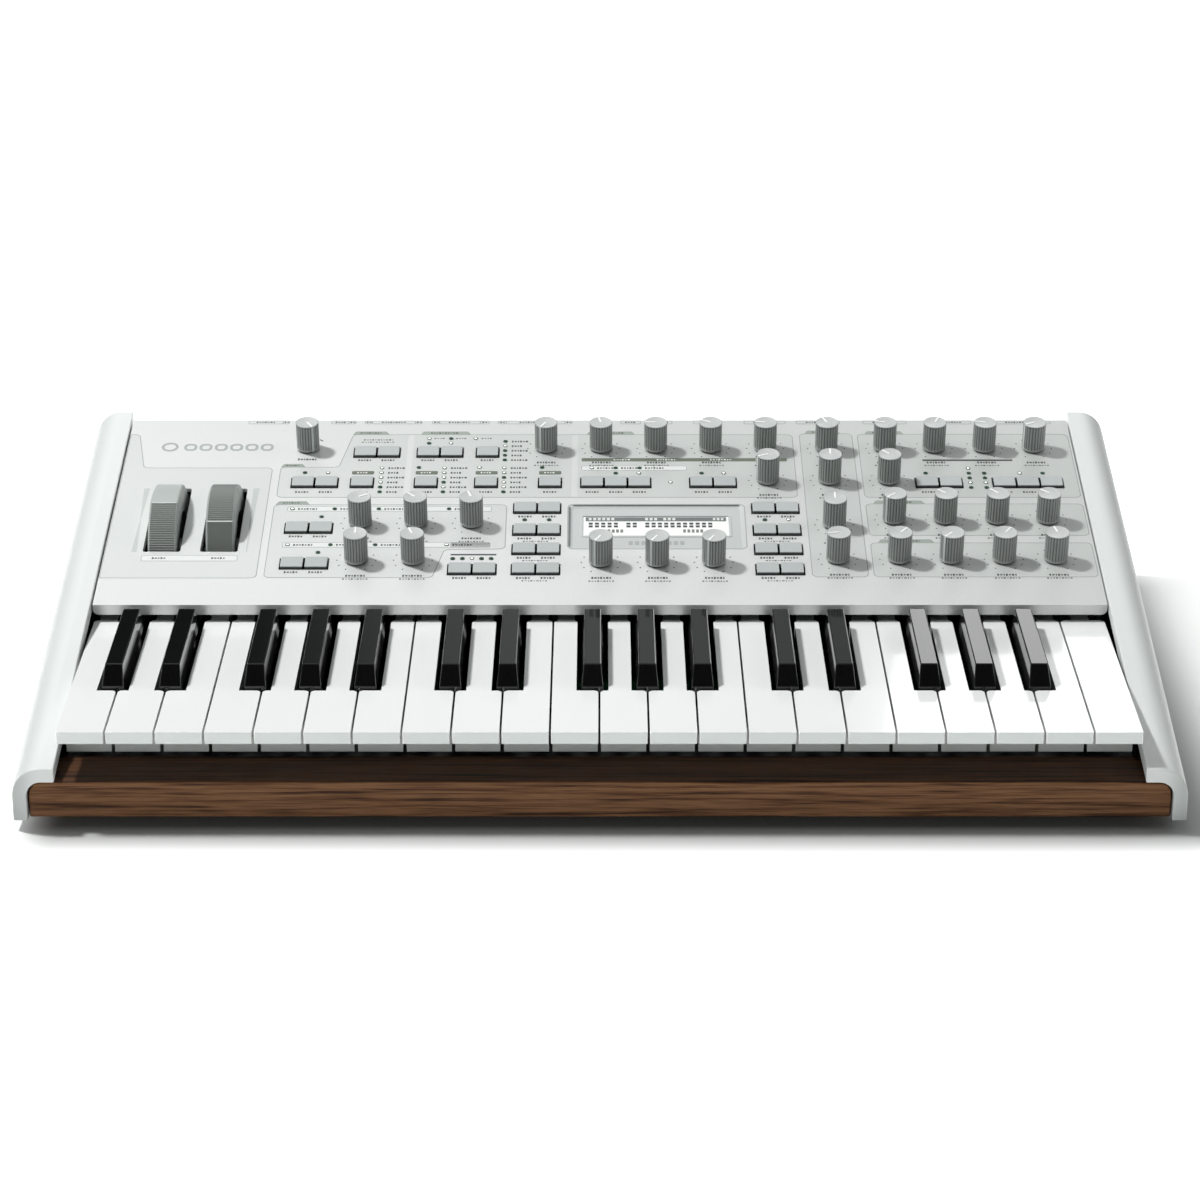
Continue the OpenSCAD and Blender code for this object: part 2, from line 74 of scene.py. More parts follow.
# Soft lights as (name, place, power, size, shape)
LIGHTS = [
    ("key_light", (-1.12, 0.3, 2.0), 49, 0.24, "DISK"),
    ("top_light", (0.0, 0.1, 2.2), 3.5, 0.3, "SQUARE"),
    ("fill_light", (1.2, 0.1, 0.6), 4.5, 0.9, "SQUARE"),
    ("front_light", (-0.7, -1.6, 0.4), 1.6, 1.0, "SQUARE"),
    ("glint_light", (0.62, 1.85, 0.86), 2.5, 0.6, "SQUARE"),
]
ROOM_LIGHT = 0.62
ROOM_LEFT_COLOUR = (0.97, 1.0, 0.99)
ROOM_RIGHT_COLOUR = (0.17, 0.18, 0.178)
ROOM_FLAG_COLOUR = (0.024, 0.028, 0.027)
FLOOR_COLOUR = (0.93, 0.93, 0.925)
# Painted shadow on the floor round the object: a darker colour and a weaker glow close to it
FLOOR_PAINTED_SHADOW_COLOUR = (0.36, 0.37, 0.365)
FLOOR_GLOW = 0.5
FLOOR_SHADE_MIDDLE = (0.014, -0.014)
FLOOR_SHADE_HALF = (0.272, 0.155)
FLOOR_SHADE_FADE = 0.035
FLOOR_GLOW_FADE = 0.05
FLOOR_REACH = 8.0

# ---- The panel's own frame and the layout on it ----

SLOPE = radians(11)
PANEL_LENGTH = 188
PANEL_THICKNESS = 2
panel_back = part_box("top_panel")[1]
panel_origin = Vector((
    0,
    panel_back[1] - PANEL_LENGTH * MM * cos(SLOPE) - PANEL_THICKNESS * MM * sin(SLOPE),
    panel_back[2] - PANEL_LENGTH * MM * sin(SLOPE),
))
PANEL = Matrix.Translation(panel_origin) @ Matrix.Rotation(SLOPE, 4, "X")

# Knobs as (across, up the slope, pointer in degrees clockwise from straight up the slope)
TURNING_KNOBS = {
    "volume_knob": (-160, 157, 149),
    "cutoff_knob": (156, 157, -75),
    "resonance_knob": (183, 157, 22),
    "value_knob_1": (0.4, 40.5, -149),
    "value_knob_2": (29.7, 40.5, -149),
    "value_knob_3": (59.2, 40.5, -149),
}
FIXED_KNOBS = [
    (-127, 79, 63), (-97.5, 79, -47), (-68, 79, -18), (-127, 42.5, 0), (-97.5, 42.5, -20),
    (-29.5, 157, -150), (0.5, 157, -14), (30.5, 157, -88), (60.5, 157, -63), (90.5, 157, -82),
    (90.5, 123, -113),
    (124, 157, -24), (124, 123, 0), (124, 77.5, 0), (124, 43.5, -98),
    (210.5, 157, -79), (237.5, 157, -113), (156, 123, -44),
    (156, 82.5, -132), (183, 82.5, -50), (210.5, 82.5, -43), (237.5, 82.5, -50),
    (156, 43.5, 41), (183, 43.5, -135), (210.5, 43.5, 35), (237.5, 43.5, -14),
]
# Button rows as (middle of the row, up the slope, how many)
BUTTON_PITCH = 12.7
BUTTON_HALF = (5.8, 4.8)
BUTTON_CLEAR = 0.85
BUTTON_RISE = 1.6
BUTTON_ROWS = [
    (-154, 120.5, 2), (-154, 74, 2), (-154, 39, 2), (-122, 152.5, 2), (-128.5, 120.5, 1),
    (-87.5, 152.5, 2), (-61.5, 152.5, 1), (-94, 120.5, 1), (-61.5, 120.5, 1), (-27, 120.5, 1),
    (-66.5, 33.5, 2), (8.5, 120.5, 3), (61, 120.5, 2), (183, 120.5, 2), (231, 120.5, 3),
]
PAIRS_BY_DISPLAY = [(x, s, 2) for x in (-33.5, 93.5) for s in (94, 72, 53, 33.5)]
BUTTON_ROWS += PAIRS_BY_DISPLAY
SELECTOR_ROW = 120.5
# Light columns as (across, top one, how many, which are lit), then the single lights
LED_PITCH = 5
LED_COLUMNS = [
    (-118.5, 136, 6, (0, 1, 2, 3)), (-84.5, 136, 6, (0, 1, 2, 4)), (-52, 136, 6, (0, 1, 3, 4)),
    (-52, 164.5, 5, (1,)), (200, 135.5, 5, (0, 3)), (208.3, 130.5, 4, (2,)),
]
TRANSPOSE_LEDS = [(-76.8 + i * LED_PITCH, 44) for i in range(5)]
LIT_LEDS = [
    (-147.5, 131), (-82, 162.5), (-94, 167.5), (-68.5, 167.5), (-65.5, 136.5), (-4.5, 136), (21, 130.5),
    (67, 130.5), (38, 121), (227.5, 130.5), (-164, 93.5), (-164, 57.5), (-80.5, 57.5), (100, 82.5),
    TRANSPOSE_LEDS[2],
]
DARK_LEDS = [
    (-160, 131), (-98.5, 136.5), (-31.5, 136.5), (-94, 162.5), (-82, 167.5), (8.5, 136), (21.5, 136),
    (8.5, 130.5), (55, 130.5), (176.5, 130.5), (240, 130.5), (-141.5, 93.5), (-118, 93.5), (-80.5, 93.5),
    (-141.5, 57.5), (-118, 57.5), (-148, 85.5), (-147.5, 50), (-40, 82.5), (-27, 82.5), (87.5, 82.5),
] + TRANSPOSE_LEDS[:2] + TRANSPOSE_LEDS[3:]

WHEEL_PLACES = {"pitch_wheel": -229.5, "mod_wheel": -199.5}
WHEEL_UP = 82.7
WHEEL_DROP = 20
WHEEL_SLOT_HALF = (9.9, 31.9)
DISPLAY_BOX = (-17, 53.8, 77, 98.2)
DISPLAY_DROP = 1.2
WINDOW_BOX = (-9, 68.5, 68.4, 88)
JACKS = [-205, -178, -156, -129, -107, -80, -58, -31, -9, 18, 40]
PHONO_SOCKETS = [66, 84]
ROUND_SOCKETS = [112, 136, 160]
DATA_PORT = 188
POWER_INLET = 214
SOCKET_HEIGHT = 55


def on_panel(across, up, height=0.0, turn=0.0):
    """The place of something that stands on the top panel, turned clockwise by so many degrees."""
    shift = Matrix.Translation(Vector((across, up, height)) * MM)
    return PANEL @ shift @ Matrix.Rotation(-radians(turn), 4, "Z")


def button_places():
    """The middle of each push button."""
    for middle, up, count in BUTTON_ROWS:
        for i in range(count):
            yield middle + (i - (count - 1) / 2) * BUTTON_PITCH, up


# ---- Shapes ----

CORNER_STEPS = 5
DOME_STEPS = 4
DOME_ROUNDNESS = 0.35
SHARPEST_MITRE = 0.3
# Heights of the printing over the panel: its sunk underside, then areas, lines and marks
PRINT_LOW = -0.05
AREA_TOP = 0.04
LINE_TOP = 0.08
MARK_TOP = 0.10
PRINT_LIFT = 0.03


class Solid:
    """Collects closed solids, in millimetres, with a paint number for each face."""

    def __init__(self):
        self.points = []
        self.faces = []
        self.paints = []

    def add_face(self, corners, paint):
        self.faces.append(corners)
        self.paints.append(paint)

    def loft(self, rings, paint=0, closed=False, paints=None):
        """Joins rings of equally many points. The two ends are capped, or joined to each other if closed."""
        paints = paints or [paint] * len(rings)
        first = len(self.points)
        count = len(rings[0])
        for ring in rings:
            self.points.extend(tuple(point) for point in ring)
        for i in range(len(rings) if closed else len(rings) - 1):
            a = first + i * count
            b = first + (i + 1) % len(rings) * count
            for j in range(count):
                k = (j + 1) % count
                self.add_face((a + j, a + k, b + k, b + j), paints[i])
        if not closed:
            self.add_face(tuple(range(first, first + count)), paints[0])
            last = first + (len(rings) - 1) * count
            self.add_face(tuple(range(last, last + count)), paints[-1])

    def prism(self, outline, low=PRINT_LOW, high=MARK_TOP):
        """A flat outline between two heights."""
        self.loft([[(x, y, low) for x, y in outline], [(x, y, high) for x, y in outline]])

    def bar(self, box, low=PRINT_LOW, high=MARK_TOP):
        """A rectangular bar over the box (left, front, right, back)."""
        self.prism(box_corners(box), low, high)

    def dome(self, x, y, radius, low, high, sides=20):
        """A low round lens: an upright edge and a rounded top."""
        rings = [circle(x, y, radius, low, sides)]
        for step in range(DOME_STEPS):
            turn = step / DOME_STEPS * pi / 2
            rise = high - radius * DOME_ROUNDNESS * (1 - sin(turn))
            rings.append(circle(x, y, radius * cos(turn), rise, sides))
        self.loft(rings)

    def ribbon(self, path, width, low=PRINT_LOW, high=MARK_TOP, closed=True):
        """A line of that width along a path, with mitred corners."""
        rings = []
        count = len(path)
        for i, (x, y) in enumerate(path):
            before = path[(i - 1) % count]
            after = path[(i + 1) % count]
            if not closed and i == 0:
                before = (2 * x - after[0], 2 * y - after[1])
            if not closed and i == count - 1:
                after = (2 * x - before[0], 2 * y - before[1])
            come = (Vector((x, y)) - Vector(before)).normalized()
            go = (Vector(after) - Vector((x, y))).normalized()
            side = Vector((-come.y - go.y, come.x + go.x)).normalized()
            reach = width / 2 / max(side.dot(Vector((-come.y, come.x))), SHARPEST_MITRE)
            a = (x + side.x * reach, y + side.y * reach)
            b = (x - side.x * reach, y - side.y * reach)
            rings.append([(*a, low), (*a, high), (*b, high), (*b, low)])
        self.loft(rings, closed=closed)


def circle(x, y, radius, height, sides):
    """A level ring of points."""
    turns = [2 * pi * i / sides for i in range(sides)]
    return [(x + radius * cos(turn), y + radius * sin(turn), height) for turn in turns]


def flat_circle(x, y, radius, sides):
    """A circle as an outline."""
    return [point[:2] for point in circle(x, y, radius, 0, sides)]


def grow(box, reach):
    """The box (left, front, right, back) with each side moved out, or in if the reach is below zero."""
    left, front, right, back = box
    return (left - reach, front - reach, right + reach, back + reach)


def round_corners(corners, radius):
    """The outline with its corners replaced by arcs. A radius of 0 in a list keeps that corner sharp."""
    radii = radius if isinstance(radius, (list, tuple)) else [radius] * len(corners)
    outline = []
    for i, corner in enumerate(corners):
        here = Vector(corner)
        back = Vector(corners[i - 1]) - here
        ahead = Vector(corners[(i + 1) % len(corners)]) - here
        if radii[i] == 0:
            outline.append(tuple(here))
            continue
        half = back.angle(ahead) / 2
        reach = min(radii[i] / tan(half), back.length * 0.49, ahead.length * 0.49)
        start = here + back.normalized() * reach
        end = here + ahead.normalized() * reach
        middle = here + (back.normalized() + ahead.normalized()).normalized() * reach / cos(half)
        arm = start - middle
        sweep = arm.angle_signed(end - middle)
        for step in range(CORNER_STEPS + 1):
            spoke = arm.copy()
            spoke.rotate(Matrix.Rotation(-sweep * (step / CORNER_STEPS), 2))
            outline.append(tuple(middle + spoke))
    return outline


def box_corners(box):
    left, front, right, back = box
    return [(left, front), (right, front), (right, back), (left, back)]


def box_outline(box, radius):
    """The outline of the box (left, front, right, back), with round corners."""
    return round_corners(box_corners(box), radius)


def add_object(name, data):
    thing = bpy.data.objects.new(name, data)
    bpy.context.scene.collection.objects.link(thing)
    return thing


def make(name, solid, materials, body, place, bevel=0.0, sharp=35):
    """Makes a piece from a solid and sets it riding on its body."""
    mesh = bpy.data.meshes.new(name)
    mesh.from_pydata([(x * MM, y * MM, z * MM) for x, y, z in solid.points], [], solid.faces)
    for material in materials:
        mesh.materials.append(material)
    mesh.polygons.foreach_set("material_index", solid.paints)
    work = bmesh.new()
    work.from_mesh(mesh)
    bmesh.ops.recalc_face_normals(work, faces=work.faces)
    work.to_mesh(mesh)
    work.free()
    mesh.shade_smooth()
    mesh.set_sharp_from_angle(angle=radians(sharp))
    piece = add_object(name, mesh)
    piece.matrix_world = place
    if bevel:
        add_bevel(piece, bevel)
    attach(piece, body)
    return piece


def add_to_case(name, solid, paint, place=PANEL, bevel=0.0):
    """Makes a piece of one paint that belongs to the case and, if no place is given, lies on the panel."""
    return make(name, solid, [PAINT[paint]], CASE, place, bevel=bevel)


def add_bevel(piece, width_mm):
    """Rounds the sharp edges of a piece a little, as moulded and bent parts are."""
    bevel = piece.modifiers.new("bevel", "BEVEL")
    bevel.width = width_mm * MM
    bevel.segments = 3
    bevel.limit_method = "ANGLE"
    bevel.angle_limit = radians(30)
    bevel.harden_normals = True
    normals = piece.modifiers.new("normals", "WEIGHTED_NORMAL")
    normals.keep_sharp = True


def soften(node, width_mm):
    """Rounds the edges of a CAD node. Its mesh stays as packed: the modifiers work on what is shown."""
    weld = node.modifiers.new("weld", "WELD")
    weld.merge_threshold = 0.001 * MM
    flat = node.modifiers.new("flat_faces", "DECIMATE")
    flat.decimate_type = "DISSOLVE"
    flat.angle_limit = radians(0.5)
    add_bevel(node, width_mm)


# ---- Materials ----

# Painted shade on the silver paint: how dark it gets, and the direction in which it darkens
SILVER_PAINTED_SHADE = (0.80, 0.81, 0.80)
SILVER_PAINTED_FALLOFF_ALONG = (1.0, 1.6, 0.0)
# The side panels' white, and a greyer painted shade down their outer walls from this many millimetres out
SIDE_SHADE_FROM = 266
SIDE_COLOUR = (0.66, 0.685, 0.675)
SIDE_WALL_PAINTED_SHADE = (0.44, 0.465, 0.455)
# Painted shade on the white keys' front lips
KEY_LIP_PAINTED_SHADE = (0.84, 0.88, 0.865)
BUTTON_COLOUR = (0.42, 0.45, 0.445)
# Painted shade on the buttons' sides
BUTTON_SIDE_PAINTED_SHADE = (0.05, 0.058, 0.055)
# Painted shade on the walnut rail's top, which lies under the keys
WALNUT_TOP_PAINTED_SHADE = (0.42, 0.38, 0.36)
WALNUT_GRAIN = [
    (0.38, (0.022, 0.009, 0.004)), (0.44, (0.085, 0.036, 0.015)), (0.50, (0.150, 0.070, 0.031)),
    (0.57, (0.215, 0.108, 0.052)), (0.64, (0.110, 0.049, 0.022)),
]


def new_material(name, **values):
    """A material whose shader has these values all over. Returns it with its nodes and its shader."""
    material = bpy.data.materials.new(name)
    material.use_nodes = True
    shader = material.node_tree.nodes["Principled BSDF"]
    for socket, value in values.items():
        shader.inputs[socket.replace("_", " ")].default_value = value
    return material, material.node_tree, shader


def add_node(tree, kind, inputs, **settings):
    """Adds a shader node. Each input, by its name or number, gets a plain value or is fed by a socket."""
    node = tree.nodes.new("ShaderNode" + kind)
    for setting, value in settings.items():
        setattr(node, setting, value)
    for name, value in inputs.items():
        if isinstance(value, bpy.types.NodeSocket):
            tree.links.new(value, node.inputs[name])
        else:
            node.inputs[name].default_value = value
    return node


def place_on_object(tree):
    return add_node(tree, "TexCoord", {}).outputs["Object"]


def speckle(tree, per_mm, stretch=(1, 1, 1), detail=3.0):
    """Noise fixed to the piece, with about so many grains to the millimetre."""
    scale = [per_mm / MM * s for s in stretch]
    place = add_node(tree, "Mapping", {"Vector": place_on_object(tree), "Scale": scale}).outputs["Vector"]
    return add_node(tree, "TexNoise", {"Vector": place, "Scale": 1.0, "Detail": detail}).outputs["Fac"]


def colour_between(tree, fac, stops, socket):
    """Colours the socket by a number between 0 and 1: stops are (where, colour)."""
    ramp = add_node(tree, "ValToRGB", {"Fac": fac})
    while len(ramp.color_ramp.elements) < len(stops):
        ramp.color_ramp.elements.new(1.0)
    for element, (where, colour) in zip(ramp.color_ramp.elements, stops):
        element.position = where
        element.color = (*colour, 1)
    tree.links.new(ramp.outputs["Color"], socket)


def add_texture(tree, shader, noise, smooth, rough, depth_mm):
    """Varies the gloss and raises the surface by the noise."""
    spread = {"Value": noise, "From Min": 0.3, "From Max": 0.7, "To Min": smooth, "To Max": rough}
    gloss = add_node(tree, "MapRange", spread)
    bump = add_node(tree, "Bump", {"Height": noise, "Strength": 1.0, "Distance": depth_mm * MM})
    tree.links.new(gloss.outputs["Result"], shader.inputs["Roughness"])
    tree.links.new(bump.outputs["Normal"], shader.inputs["Normal"])


def fade(tree, value, start, end):
    """A number that goes from 0 to 1 as the value goes from start to end, and stays there."""
    ends = {"Value": value, "From Min": start, "From Max": end}
    return add_node(tree, "MapRange", ends, interpolation_type="SMOOTHSTEP").outputs["Result"]


def calculate(tree, operation, *values):
    """A number worked out from sockets or plain numbers."""
    return add_node(tree, "Math", dict(enumerate(values)), operation=operation).outputs["Value"]


def axes_of(tree, vector):
    return add_node(tree, "SeparateXYZ", {"Vector": vector}).outputs


def along(tree, vector, direction):
    """How far the vector reaches along a direction."""
    return add_node(tree, "VectorMath", {0: vector, 1: direction}, operation="DOT_PRODUCT").outputs["Value"]


def tint(tree, base, amount, colour):
    """Multiplies the colour that feeds the base socket, where the amount is 1."""
    mixed = {"Factor": amount, "A": base.links[0].from_socket, "B": (*colour, 1)}
    shade = add_node(tree, "Mix", mixed, data_type="RGBA", blend_type="MULTIPLY")
    tree.links.new(shade.outputs["Result"], base)


def finish(name, colour, rough, vary=0.06, per_mm=4.0, depth_mm=0.004, stretch=(1, 1, 1), **values):
    """Paint or plastic: a colour that varies a little, with fine texture in its gloss and surface."""
    material, tree, shader = new_material(name, **values)
    fine = speckle(tree, per_mm, stretch)
    broad = speckle(tree, 0.02, detail=2.0)
    mixed = calculate(tree, "MULTIPLY_ADD", fine, 0.5, calculate(tree, "MULTIPLY", broad, 0.5))
    dark = [c * (1 - vary) for c in colour]
    light = [min(c * (1 + vary), 1) for c in colour]
    colour_between(tree, mixed, [(0.3, dark), (0.7, light)], shader.inputs["Base Color"])
    add_texture(tree, shader, fine, rough * 0.85, rough * 1.15, depth_mm)
    return material


def side_paint():
    """Satin white paint, with painted shade that makes it greyer down the outer wall than on the flange."""
    material, tree, shader = new_material("satin_white_paint", Roughness=0.36)
    apart = calculate(tree, "ABSOLUTE", axes_of(tree, place_on_object(tree))["X"])
    # Painted shade: greyer towards the outer wall
    outer = fade(tree, apart, SIDE_SHADE_FROM * MM, cad_box[1][0])
    colour_between(tree, outer, [(0.0, SIDE_COLOUR), (1.0, SIDE_WALL_PAINTED_SHADE)], shader.inputs["Base Color"])
    add_texture(tree, shader, speckle(tree, 3.0), 0.32, 0.42, 0.003)
    return material


def silver(name, colour):
    """Silver paint brushed from side to side, with painted shade that makes it a little darker at the back
    right.
    """
    material = finish(name, colour, 0.32, 0.008, 5.0, 0.0008, (0.2, 1, 1), Metallic=0.35, Anisotropic=0.6)
    tree = material.node_tree
    shader = tree.nodes["Principled BSDF"]
    tree.links.new(add_node(tree, "CombineXYZ", {"X": 1.0}).outputs["Vector"], shader.inputs["Tangent"])
    # Painted shade: darker towards the back right, standing in for the light falling off
    slant = along(tree, place_on_object(tree), SILVER_PAINTED_FALLOFF_ALONG)
    tint(tree, shader.inputs["Base Color"], fade(tree, slant, -0.15, 0.45), SILVER_PAINTED_SHADE)
    return material


def walnut():
    """Oiled walnut with its grain along the rail, and painted shade that makes it darker on top than on the
    front.
    """
    material, tree, shader = new_material("walnut_oiled", Specular_IOR_Level=0.12)
    figure = speckle(tree, 0.4, (0.035, 1.0, 1.4), detail=8.0)
    fibres = speckle(tree, 2.2, (0.02, 1.0, 1.0), detail=3.0)
    grain = calculate(tree, "MULTIPLY_ADD", fibres, 0.35, calculate(tree, "MULTIPLY", figure, 0.65))
    colour_between(tree, grain, WALNUT_GRAIN, shader.inputs["Base Color"])
    # Painted shade on the rail's top face
    rail_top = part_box("front_rail")[1][2]
    height = axes_of(tree, place_on_object(tree))["Z"]
    on_top = fade(tree, height, rail_top - 0.6 * MM, rail_top - 0.1 * MM)
    tint(tree, shader.inputs["Base Color"], on_top, WALNUT_TOP_PAINTED_SHADE)
    add_texture(tree, shader, fibres, 0.42, 0.62, 0.03)
    return material


def white_gloss():
    """Gloss white with painted shade that makes the flat front lip greyer, inside its bright rounded border.
    """
    material = finish("white_key_gloss", (0.80, 0.81, 0.805), 0.15, 0.015, 1.2, 0.001, Coat_Weight=0.4)
    tree = material.node_tree
    # Painted shade on the faces that look straight forward
    normal = add_node(tree, "NewGeometry", {}).outputs["True Normal"]
    forward = along(tree, normal, (0, -1, 0))
    on_lip = fade(tree, forward, 0.95, 0.98)
    tint(tree, tree.nodes["Principled BSDF"].inputs["Base Color"], on_lip, KEY_LIP_PAINTED_SHADE)
    return material


def button_plastic():
    """A satin cap whose sides, below the top, are painted near-black as painted shade."""
    material, tree, shader = new_material("button_satin", Specular_IOR_Level=0.5)
    # Painted shade: near-black on the sides below the cap's top
    normal = PANEL.to_3x3() @ Vector((0, 0, 1))
    top = normal.dot(panel_origin) + BUTTON_RISE * MM
    cap = fade(tree, along(tree, place_on_object(tree), normal), top - 0.5 * MM, top - 0.3 * MM)
    colour_between(tree, cap, [(0.0, BUTTON_SIDE_PAINTED_SHADE), (1.0, BUTTON_COLOUR)], shader.inputs["Base Color"])
    add_texture(tree, shader, speckle(tree, 5.0), 0.34, 0.46, 0.004)
    return material


def lit(name, colour, strength):
    """A lamp seen through a frosted lens: bright, with a little unevenness."""
    material, tree, shader = new_material(name, Roughness=0.3, Emission_Strength=strength)
    fine = speckle(tree, 1.5)
    glow = [(0.3, [c * 0.9 for c in colour]), (0.7, colour)]
    lens = [(0.3, (0.6, 0.6, 0.58)), (0.7, (0.8, 0.8, 0.78))]
    colour_between(tree, fine, glow, shader.inputs["Emission Color"])
    colour_between(tree, fine, lens, shader.inputs["Base Color"])
    return material


def ink(name, colour, rough=0.5, vary=0.03):
    return finish(name, colour, rough, vary, 3.0, 0.001)


PAINT = {
    "panel": silver("silver_paint", (0.86, 0.875, 0.87)),
    "side": side_paint(),
    "key_white": white_gloss(),
    "key_black": finish("black_key_gloss", (0.004, 0.004, 0.004), 0.08, 0.3, 1.0, 0.001, Coat_Weight=0.2),
    "walnut": walnut(),
    "knob": finish("knob_grey_soft", (0.29, 0.31, 0.30), 0.4, 0.08, 5.0, 0.006),
    # Painted shade for the knobs: darker grooves, and near-black painted shadow under the knob and under its
    # top rim
    "knob_groove": finish("groove_painted_shade_grey", (0.155, 0.168, 0.163), 0.6, 0.1, 5.0, 0.006),
    "knob_top": finish("knob_top_spun", (0.50, 0.52, 0.515), 0.38, 0.25, 2.2, 0.02),
    "knob_notch": finish("painted_shadow_black", (0.02, 0.023, 0.022), 0.6, 0.1, 5.0, 0.006),
    "pointer": finish("pointer_white", (0.85, 0.86, 0.85), 0.4, 0.03),
    # The white pointer down the knob's side, painted grey as painted shade
    "pointer_side": finish("pointer_painted_shade_grey", (0.50, 0.54, 0.525), 0.4, 0.04),
    "button": button_plastic(),
    # One wheel plastic in lit and shaded copies: the rim's dark grey is partly painted shade, and the facet
    # and the sides are painted lighter as painted light
    "wheel": finish("wheel_grey_with_painted_shade", (0.15, 0.165, 0.155), 0.48, 0.07, 4.0, 0.005),
    "wheel_side": finish("wheel_flank_painted_light", (0.33, 0.36, 0.345), 0.36, 0.05),
    "wheel_facet": finish("facet_painted_light", (0.40, 0.43, 0.415), 0.34, 0.05),
    # Painted highlight along the crease beside the wheel's facet
    "wheel_edge": finish("rim_crease_painted_highlight", (0.62, 0.65, 0.635), 0.3, 0.03, 4.0, 0.002),
    "display": finish("display_frame_matt", (0.50, 0.525, 0.52), 0.45, 0.03, 4.0, 0.003),
    "tray": finish("tray_dark_paint", (0.02, 0.021, 0.023), 0.5, 0.15, 4.0, 0.006),
    "steel": finish("zinc_steel", (0.33, 0.34, 0.345), 0.34, 0.12, 0.8, 0.003, (0.1, 1, 1), Metallic=1.0),
    "nickel": finish("nickel_plate", (0.62, 0.61, 0.58), 0.2, 0.08, 3.0, 0.002, Metallic=1.0),
    "screw": finish("black_oxide", (0.03, 0.03, 0.032), 0.35, 0.25, 5.0, 0.003, Metallic=0.8),
    "rubber": finish("foot_rubber_matt", (0.02, 0.02, 0.02), 0.8, 0.25, 3.0, 0.02),
    "board": finish("board_green_mask", (0.01, 0.07, 0.03), 0.3, 0.3, 1.0, 0.01),
    "plug_black": finish("socket_plastic", (0.015, 0.015, 0.016), 0.4, 0.2),
    "gold": finish("contact_gold", (0.75, 0.52, 0.18), 0.25, 0.08, 3.0, 0.002, Metallic=1.0),
    "ink_line": ink("ink_line_grey", (0.34, 0.365, 0.35), 0.55, 0.1),
    "ink_dark": ink("ink_dark_grey", (0.055, 0.062, 0.058), 0.55, 0.15),
    "ink_pale": ink("ink_pale", (0.70, 0.72, 0.71)),
    "ink_bar": ink("ink_bar_white", (0.66, 0.68, 0.67)),
    "ink_wedge": ink("ink_wedge_grey", (0.47, 0.50, 0.485)),
    "ink_area": silver("ink_area_tint", (0.80, 0.82, 0.81)),
    "ink_tab": ink("ink_tab_green", (0.30, 0.335, 0.305), vary=0.05),
    "ink_chip": ink("ink_chip_olive", (0.13, 0.15, 0.115), vary=0.08),
    "ink_emblem": ink("ink_emblem_grey", (0.36, 0.385, 0.37), 0.35, 0.05),
    "lens_dark": finish("lens_unlit", (0.035, 0.040, 0.038), 0.25, 0.2, 2.0, 0.001, Coat_Weight=0.5),
    "lens_lit": lit("lens_lit", (1.0, 1.0, 0.98), 0.7),
    "screen": lit("screen_backlit", (0.88, 0.95, 0.93), 0.22),
    "screen_ink": ink("screen_segment", (0.045, 0.055, 0.055), 0.4, 0.2),
    "screen_bar": ink("screen_bar_grey", (0.16, 0.18, 0.18), 0.4, 0.1),
}
# The paint for each CAD material, and how far in millimetres its edges are rounded
CAD_PAINTS = {
    "tray_metal": ("tray", 0.3), "panel_paint": ("panel", 0), "side_paint": ("side", 0.6),
    "walnut": ("walnut", 0.8), "frame_steel": ("steel", 0), "display_frame": ("display", 0),
    "board_green": ("board", 0), "socket_nickel": ("nickel", 0), "foot_rubber": ("rubber", 0.5),
    "screw_black": ("screw", 0), "knob_grey": ("knob", 0), "button_grey": ("button", 0.3),
    "wheel_grey": ("wheel", 0), "key_white": ("key_white", 0.5), "key_black": ("key_black", 1.1),
}


def paint_cad_nodes():
    """Gives each CAD node its own finish, and rounded edges where they show."""
    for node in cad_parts.values():
        paint, rounding = CAD_PAINTS[node.data.materials[0].name.split(".")[0]]
        for material_slot in node.material_slots:
            material_slot.material = PAINT[paint]
        if rounding:
            soften(node, rounding)


# ---- Knobs ----

KNOB_R = 6.2
KNOB_LOW = 0.8
KNOB_FOOT_LOW = 0.2
KNOB_SKIRT_TOP = 2.4
KNOB_TOP = 16.8
FLUTES = 24
FLUTE_DEPTH = 0.5
FLUTE_STEPS = 6
FLUTE_MIDDLE = (2, 3)
# The cap from its foot up, as (radius, height, flute depth, paint)
KNOB_PROFILE = [
    # The first two rows are a near-black foot ring: a painted shadow under the knob
    (KNOB_R - 0.8, KNOB_FOOT_LOW, 0, "knob_notch"),
    (KNOB_R - 0.6, KNOB_LOW, 0, "knob_notch"),
    (KNOB_R - 0.3, KNOB_LOW + 0.05, 0, "knob"),
    (KNOB_R, KNOB_LOW + 0.35, 0, "knob"),
    (KNOB_R, KNOB_SKIRT_TOP, 0, "knob"),
    (KNOB_R, KNOB_SKIRT_TOP + 0.25, FLUTE_DEPTH, "knob"),
    (KNOB_R, KNOB_TOP - 1.5, FLUTE_DEPTH, "knob"),
    (KNOB_R, KNOB_TOP - 0.55, FLUTE_DEPTH, "knob"),
    (KNOB_R, KNOB_TOP - 0.5, 0, "knob"),
    (KNOB_R, KNOB_TOP - 0.15, 0, "knob"),
    (KNOB_R - 0.2, KNOB_TOP, 0, "knob_top"),
    (KNOB_R - 0.7, KNOB_TOP, 0, "knob_top"),
    (KNOB_R - 0.9, KNOB_TOP - 0.1, 0, "knob_top"),
]
# Painted shade in the middle of the flutes, for the bands that begin at these rows of the profile: darker
# grey down the grooves, and near-black painted shadow under the top rim
FLUTE_PAINTS = {4: "knob_groove", 5: "knob_groove", 6: "knob_notch", 7: "knob_notch"}
KNOB_PAINTS = ["knob", "knob_top", "pointer", "pointer_side", "knob_groove", "knob_notch"]
